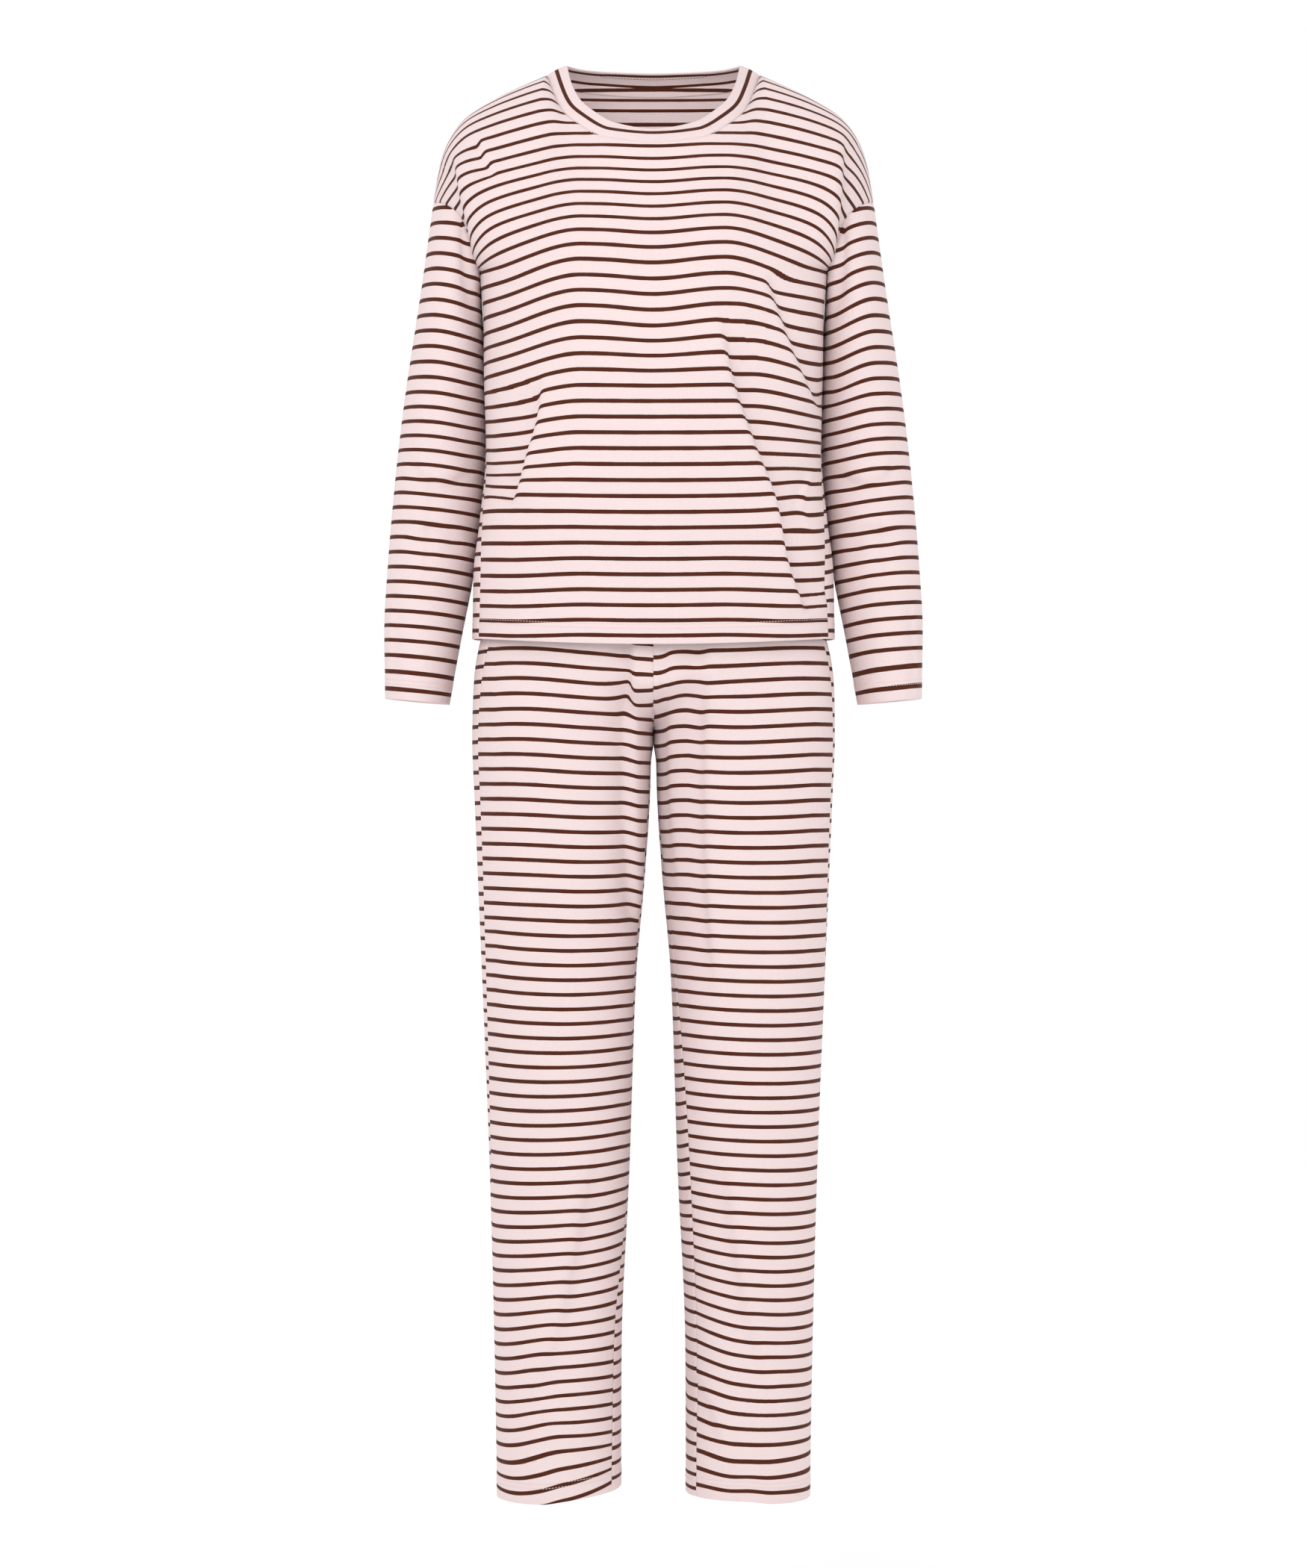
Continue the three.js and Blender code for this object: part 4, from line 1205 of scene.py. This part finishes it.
class PyjamaSizes(bpy.types.PropertyGroup):
    stripe_repeat: bpy.props.FloatProperty(
        name="Stripe repeat", description="Distance from one stripe to the next",
        default=0.0153, min=0.004, max=0.1, subtype="DISTANCE", unit="LENGTH", precision=4)
    stripe_width: bpy.props.FloatProperty(
        name="Stripe width", description="Height of a stripe",
        default=0.0041, min=0.0005, max=0.05, subtype="DISTANCE", unit="LENGTH", precision=4)
    cloth_thickness: bpy.props.FloatProperty(
        name="Cloth thickness", description="Thickness of the jersey",
        default=0.0011, min=0.0005, max=0.002, subtype="DISTANCE", unit="LENGTH", precision=4)
    hem_depth: bpy.props.FloatProperty(
        name="Hem depth", description="Height of the turned-up hems",
        default=0.021, min=0.01, max=0.05, subtype="DISTANCE", unit="LENGTH", precision=4)
    wale: bpy.props.FloatProperty(
        name="Loop width", description="Width of one knitted loop",
        default=0.0009, min=0.0004, max=0.004, subtype="DISTANCE", unit="LENGTH", precision=4)
    course: bpy.props.FloatProperty(
        name="Loop height", description="Height of one row of loops",
        default=0.0007, min=0.0004, max=0.004, subtype="DISTANCE", unit="LENGTH", precision=4)
    stitch_pitch: bpy.props.FloatProperty(
        name="Stitch pitch", description="Distance from one stitch to the next",
        default=0.0032, min=0.0015, max=0.01, subtype="DISTANCE", unit="LENGTH", precision=4)
    stitch_length: bpy.props.FloatProperty(
        name="Stitch length", description="Length of the thread that shows in one stitch",
        default=0.0027, min=0.001, max=0.008, subtype="DISTANCE", unit="LENGTH", precision=4)
    thread_thickness: bpy.props.FloatProperty(
        name="Thread thickness", description="Thickness of the sewing thread",
        default=0.0006, min=0.0002, max=0.0015, subtype="DISTANCE", unit="LENGTH", precision=4)
    stitch_gap: bpy.props.FloatProperty(
        name="Twin row gap", description="Distance between the two rows of a coverstitch",
        default=0.0042, min=0.002, max=0.008, subtype="DISTANCE", unit="LENGTH", precision=4)


class PyjamaColours(bpy.types.PropertyGroup):
    ground: bpy.props.FloatVectorProperty(
        name="Ground", description="Colour of the cloth between the stripes",
        subtype="COLOR", size=3, min=0, max=1, default=(0.80, 0.655, 0.652))
    stripe: bpy.props.FloatVectorProperty(
        name="Stripe", description="Colour of the stripes",
        subtype="COLOR", size=3, min=0, max=1, default=(0.074, 0.018, 0.008))
    thread: bpy.props.FloatVectorProperty(
        name="Thread", description="Colour of the sewing thread",
        subtype="COLOR", size=3, min=0, max=1, default=(0.80, 0.64, 0.63))


class StudioSettings(bpy.types.PropertyGroup):
    distance: bpy.props.FloatProperty(
        name="Camera distance", description="Distance of the camera in front of the set",
        default=4.5, min=1, max=20, subtype="DISTANCE", unit="LENGTH")
    height: bpy.props.FloatProperty(
        name="Camera height", description="Height of the camera from the shoulders",
        default=-0.711, min=-3, max=3, subtype="DISTANCE", unit="LENGTH")
    view_height: bpy.props.FloatProperty(
        name="Height in view", description="Height that the picture covers at the set's middle",
        default=1.575, min=0.2, max=5, subtype="DISTANCE", unit="LENGTH")
    floor_drop: bpy.props.FloatProperty(
        name="Floor drop", description="Distance of the floor below the shoulders",
        default=1.62, min=1.4, max=3, subtype="DISTANCE", unit="LENGTH")
    sky: bpy.props.FloatProperty(
        name="Room light", description="Strength of the even light from all round",
        default=1.0, min=0, max=5)
    key: bpy.props.FloatProperty(
        name="Main light", description="Power of the soft light at the upper left",
        default=16, min=0, max=1000, subtype="POWER", unit="POWER")
    fill: bpy.props.FloatProperty(
        name="Second light", description="Power of the soft light at the right",
        default=5, min=0, max=1000, subtype="POWER", unit="POWER")
    collar: bpy.props.FloatProperty(
        name="Collar light", description="Power of the small light that brightens the neck's inside",
        default=0.17, min=0, max=10, subtype="POWER", unit="POWER")


def jersey_finish(name, offset):
    scene = bpy.context.scene
    made = bpy.data.materials.get(name)
    return made or jersey(name, scene.pyjama_sizes, scene.pyjama_colours, offset)


# How much lower the stripes lie than whole repeats of length along the cloth, in metres
TOP_OFFSET = 0.0035
SLEEVE_OFFSET = 0.0030
TROUSER_OFFSET = -0.0022
BAND_OFFSET = 0.0045
WAIST_OFFSET = 0.0060


# Operators

class PYJAMAS_OT_top(bpy.types.Operator):
    """Make the front and back of the top"""

    bl_idname = "pyjamas.top"
    bl_label = "Top panels"

    def execute(self, context):
        sizes = context.scene.pyjama_sizes
        finish = jersey_finish("jersey_top", TOP_OFFSET)
        wall, hem = sizes.cloth_thickness / MM, sizes.hem_depth / MM
        cuts = {"top_front": (0.47, 0.60, 0.225), "top_back": (0.58, 0.68, 0.285)}
        for name, (width, length, area) in cuts.items():
            cloth = top_cloths()[name]
            piece = placed("panel_" + name, cloth_mesh(cloth, wall, hem), finish)
            hand_over(piece, "jersey", name)
        return {"FINISHED"}


class PYJAMAS_OT_sleeves(bpy.types.Operator):
    """Make the two sleeves"""

    bl_idname = "pyjamas.sleeves"
    bl_label = "Sleeves"

    def execute(self, context):
        sizes = context.scene.pyjama_sizes
        finish = jersey_finish("jersey_sleeves", SLEEVE_OFFSET)
        wall, hem = sizes.cloth_thickness / MM, sizes.hem_depth / MM
        for name in ("sleeve_left", "sleeve_right"):
            cloth = top_cloths()[name]
            piece = placed("tube_" + name, cloth_mesh(cloth, wall, hem), finish)
            hand_over(piece, "jersey", name)
        return {"FINISHED"}


class PYJAMAS_OT_neckband(bpy.types.Operator):
    """Make the folded neckband and the tape inside the back of the neck"""

    bl_idname = "pyjamas.neckband"
    bl_label = "Neckband and tape"

    def execute(self, context):
        sizes = context.scene.pyjama_sizes
        band = neckband_cloth()
        cut = map_columns(band, band.up)
        mesh = wall_mesh(
            "neckband", band.outer, band.inner, band.across, cut, True, turned=2 * cut[-1].mean())
        piece = placed("band_neckband", mesh, jersey_finish("jersey_neckband", BAND_OFFSET))
        hand_over(piece, "neckband", "neckband")

        back = top_cloths()["top_back"]
        if not hasattr(back, "inner"):
            both = both_faces(back, sizes.cloth_thickness / MM, sizes.hem_depth / MM)
            back.outer, back.inner = both
        half = len(REACH) - 1
        reach = np.abs(np.arange(-half, half + 1))
        keep = np.flatnonzero(REACH[reach] <= NECK_SHARE * TAPE_REACH)
        drops = np.linspace(TAPE_FOOT, TAPE_TOP, 9)
        face = np.array([
            line_on(back, back.inner, drop, -0.35, from_top=True)[keep] for drop in drops
        ])
        stripes = (back.cut + back.shift)[-1, keep][None, :] - drops[:, None]
        under = face - normals_of(face, False) * TAPE_THICKNESS
        tape = wall_mesh("neck_tape", face, under, lengths(face, 1), stripes, False)
        strip = placed("strip_neck_tape", tape, jersey_finish("jersey_top", TOP_OFFSET))
        hand_over(strip, "tape", "neck_tape")
        return {"FINISHED"}


class PYJAMAS_OT_trousers(bpy.types.Operator):
    """Make the four panels of the trousers"""

    bl_idname = "pyjamas.trousers"
    bl_label = "Trouser panels"

    def execute(self, context):
        sizes = context.scene.pyjama_sizes
        finish = jersey_finish("jersey_trousers", TROUSER_OFFSET)
        wall, hem = sizes.cloth_thickness / MM, sizes.hem_depth / MM
        for face, width, area in (("front", 0.27, 0.19), ("back", 0.34, 0.27)):
            for side in ("left", "right"):
                name = f"trouser_{face}_{side}"
                mesh = cloth_mesh(trouser_cloths()[name], wall, hem)
                piece = placed("panel_" + name, mesh, finish)
                hand_over(piece, "jersey", name)
        return {"FINISHED"}


class PYJAMAS_OT_waistband(bpy.types.Operator):
    """Make the waistband over its elastic"""

    bl_idname = "pyjamas.waistband"
    bl_label = "Waistband"

    def execute(self, context):
        band = trouser_cloths()["waistband"]
        finish = jersey_finish("jersey_waistband", WAIST_OFFSET)
        piece = placed("band_waistband", cloth_mesh(band, WAISTBAND_THICKNESS, turned=70.0), finish)
        hand_over(piece, "elastic", "waistband")
        return {"FINISHED"}


# Rows of stitches: below a hem's inner edge, below the neckband, up the waistband, and the brown
# row under the neckband's free edge behind, which rises a little towards its ends
HEM_ROW, NECK_ROW, WAIST_ROWS = 1.4, 1.9, (6.0, 27.0)
BROWN_ROW, BROWN_RISE, BROWN_END = 8.4, 2.5, 54


class PYJAMAS_OT_stitching(bpy.types.Operator):
    """Sew the stitches of the hems, the cuffs, the neckline and the waistband"""

    bl_idname = "pyjamas.stitching"
    bl_label = "Stitches"

    def execute(self, context):
        sizes, colours = context.scene.pyjama_sizes, context.scene.pyjama_colours
        thread = thread_finish("sewing_thread", colours.thread)
        brown = thread_finish("brown_thread", colours.stripe)
        top, legs = top_cloths(), trouser_cloths()
        hem, gap = sizes.hem_depth / MM, sizes.stitch_gap / MM
        rows = (hem - HEM_ROW, hem - HEM_ROW - gap)

        def ring(cloths, distance):
            lines = [line_on(c, c.outer, distance) for c in cloths]
            return np.concatenate([line[:-1] for line in lines]), True

        body = [top["top_front"], top["top_back"]]
        paths = [ring(body, distance) for distance in rows]
        neck = len(NECK_REACH) - 1
        middle = len(REACH) - 1
        columns = slice(middle - neck, middle + neck + 1)
        lines = [line_on(c, c.outer, NECK_ROW, from_top=True)[columns] for c in body]
        paths.append((np.concatenate([line[:-1] for line in lines]), True))
        sewn = stitch_rows("stitches_top", paths, thread, sizes, 11)
        hand_over(sewn, "jersey")

        band = neckband_cloth()
        reach = np.abs(band.grid[-1, :, 0])
        behind = np.flatnonzero((band.grid[-1, :, 1] > 30) & (reach < BROWN_END))
        away = BROWN_ROW - BROWN_RISE * smooth(reach, BROWN_END - 10, BROWN_END)
        row = line_on(band, band.inner, away, -0.12, from_top=True)[behind]
        sewn = stitch_rows("stitches_neckband", [(row, False)], brown, sizes, 14)
        hand_over(sewn, "neckband")

        paths = []
        for name in ("sleeve_left", "sleeve_right"):
            for distance in rows:
                paths.append((line_on(top[name], top[name].outer, distance), True))
        sewn = stitch_rows("stitches_cuffs", paths, thread, sizes, 12)
        hand_over(sewn, "jersey")

        paths = []
        for side in ("left", "right"):
            leg = [legs["trouser_front_" + side], legs["trouser_back_" + side]]
            paths.extend(ring(leg, distance) for distance in rows)
        for distance in WAIST_ROWS:
            paths.append((line_on(legs["waistband"], legs["waistband"].outer, distance), True))
        sewn = stitch_rows("stitches_trousers", paths, thread, sizes, 13)
        hand_over(sewn, "jersey")
        return {"FINISHED"}


FLOOR_RADIUS, FLOOR_CORNERS = 7, 64
CAMERA_SENSOR = 36


class PYJAMAS_OT_stage(bpy.types.Operator):
    """Set up the pale floor, the soft light and the camera"""

    bl_idname = "pyjamas.stage"
    bl_label = "Floor, light and camera"

    def execute(self, context):
        scene = context.scene
        studio = scene.pyjama_studio
        middle, chest = Vector((0, 0, studio.height)), Vector((0, 0, -0.35))

        mesh = bpy.data.meshes.new("floor")
        turns = np.linspace(0, 2 * math.pi, FLOOR_CORNERS, endpoint=False)
        around = [
            (FLOOR_RADIUS * math.cos(a), FLOOR_RADIUS * math.sin(a), -studio.floor_drop)
            for a in turns
        ]
        mesh.from_pydata(around, [], [list(range(FLOOR_CORNERS))])
        finish = Finish("floor_white")
        grain = finish.noise(finish.node("ShaderNodeTexCoord").outputs["Object"], 3.0)
        tone = finish.blend(grain, (0.995, 0.995, 0.995, 1), (1, 1, 1, 1))
        finish.put(finish.shader.inputs["Base Color"], tone)
        finish.shader.inputs["Roughness"].default_value = 0.9
        floor = placed("floor", mesh, finish.material)

        world = bpy.data.worlds.new("white_room")
        world.use_nodes = True
        sky = world.node_tree.nodes["Background"]
        sky.inputs["Color"].default_value = (1, 1, 1, 1)
        sky.inputs["Strength"].default_value = studio.sky
        scene.world = world

        for name, power, size, place, aim in (
            ("main_light", studio.key, 1.5, (-0.7, -2.1, 0.55), chest),
            ("second_light", studio.fill, 1.5, (2.2, -1.7, 0.1), middle),
            ("collar_light", studio.collar, 0.16, (0, 0, -0.2), Vector((0, 0, 1))),
        ):
            light = bpy.data.lights.new(name, "AREA")
            light.energy, light.size, light.shape = power, size, "DISK"
            lamp = bpy.data.objects.new(name, light)
            lamp.location = place
            lamp.rotation_euler = (aim - Vector(place)).to_track_quat("-Z", "Y").to_euler()
            lamp.visible_camera = False
            scene.collection.objects.link(lamp)

        lens = bpy.data.cameras.new("camera")
        lens.sensor_fit = "VERTICAL"
        lens.sensor_height = CAMERA_SENSOR
        lens.lens = CAMERA_SENSOR * studio.distance / studio.view_height
        camera = bpy.data.objects.new("camera", lens)
        camera.location = (0, -studio.distance, studio.height)
        camera.rotation_euler = (math.pi / 2, 0, 0)
        scene.collection.objects.link(camera)
        scene.camera = camera
        scene.view_settings.view_transform = "Standard"
        return {"FINISHED"}


OPERATORS = (
    PYJAMAS_OT_stage,
    PYJAMAS_OT_top,
    PYJAMAS_OT_sleeves,
    PYJAMAS_OT_neckband,
    PYJAMAS_OT_trousers,
    PYJAMAS_OT_waistband,
    PYJAMAS_OT_stitching,
)


class PYJAMAS_PT_panel(bpy.types.Panel):
    """Lists the set's settings and the pieces it makes"""

    bl_idname = "PYJAMAS_PT_panel"
    bl_label = "Pyjama set"
    bl_space_type = "VIEW_3D"
    bl_region_type = "UI"
    bl_category = "Pyjamas"

    def draw(self, context):
        for name, _ in GROUPS:
            group = getattr(context.scene, name)
            box = self.layout.box()
            for setting in group.__annotations__:
                box.prop(group, setting)
        for operator in OPERATORS:
            self.layout.operator(operator.bl_idname)


GROUPS = (
    ("pyjama_sizes", PyjamaSizes),
    ("pyjama_colours", PyjamaColours),
    ("pyjama_studio", StudioSettings),
)


def register():
    for name, group in GROUPS:
        bpy.utils.register_class(group)
        setattr(bpy.types.Scene, name, bpy.props.PointerProperty(type=group))
    for operator in OPERATORS:
        bpy.utils.register_class(operator)
    bpy.utils.register_class(PYJAMAS_PT_panel)


def unregister():
    bpy.utils.unregister_class(PYJAMAS_PT_panel)
    for operator in reversed(OPERATORS):
        bpy.utils.unregister_class(operator)
    for name, group in reversed(GROUPS):
        delattr(bpy.types.Scene, name)
        bpy.utils.unregister_class(group)


def main():
    register()
    for operator in OPERATORS:
        family, action = operator.bl_idname.split(".")
        getattr(getattr(bpy.ops, family), action)()


if __name__ == "__main__":
    main()
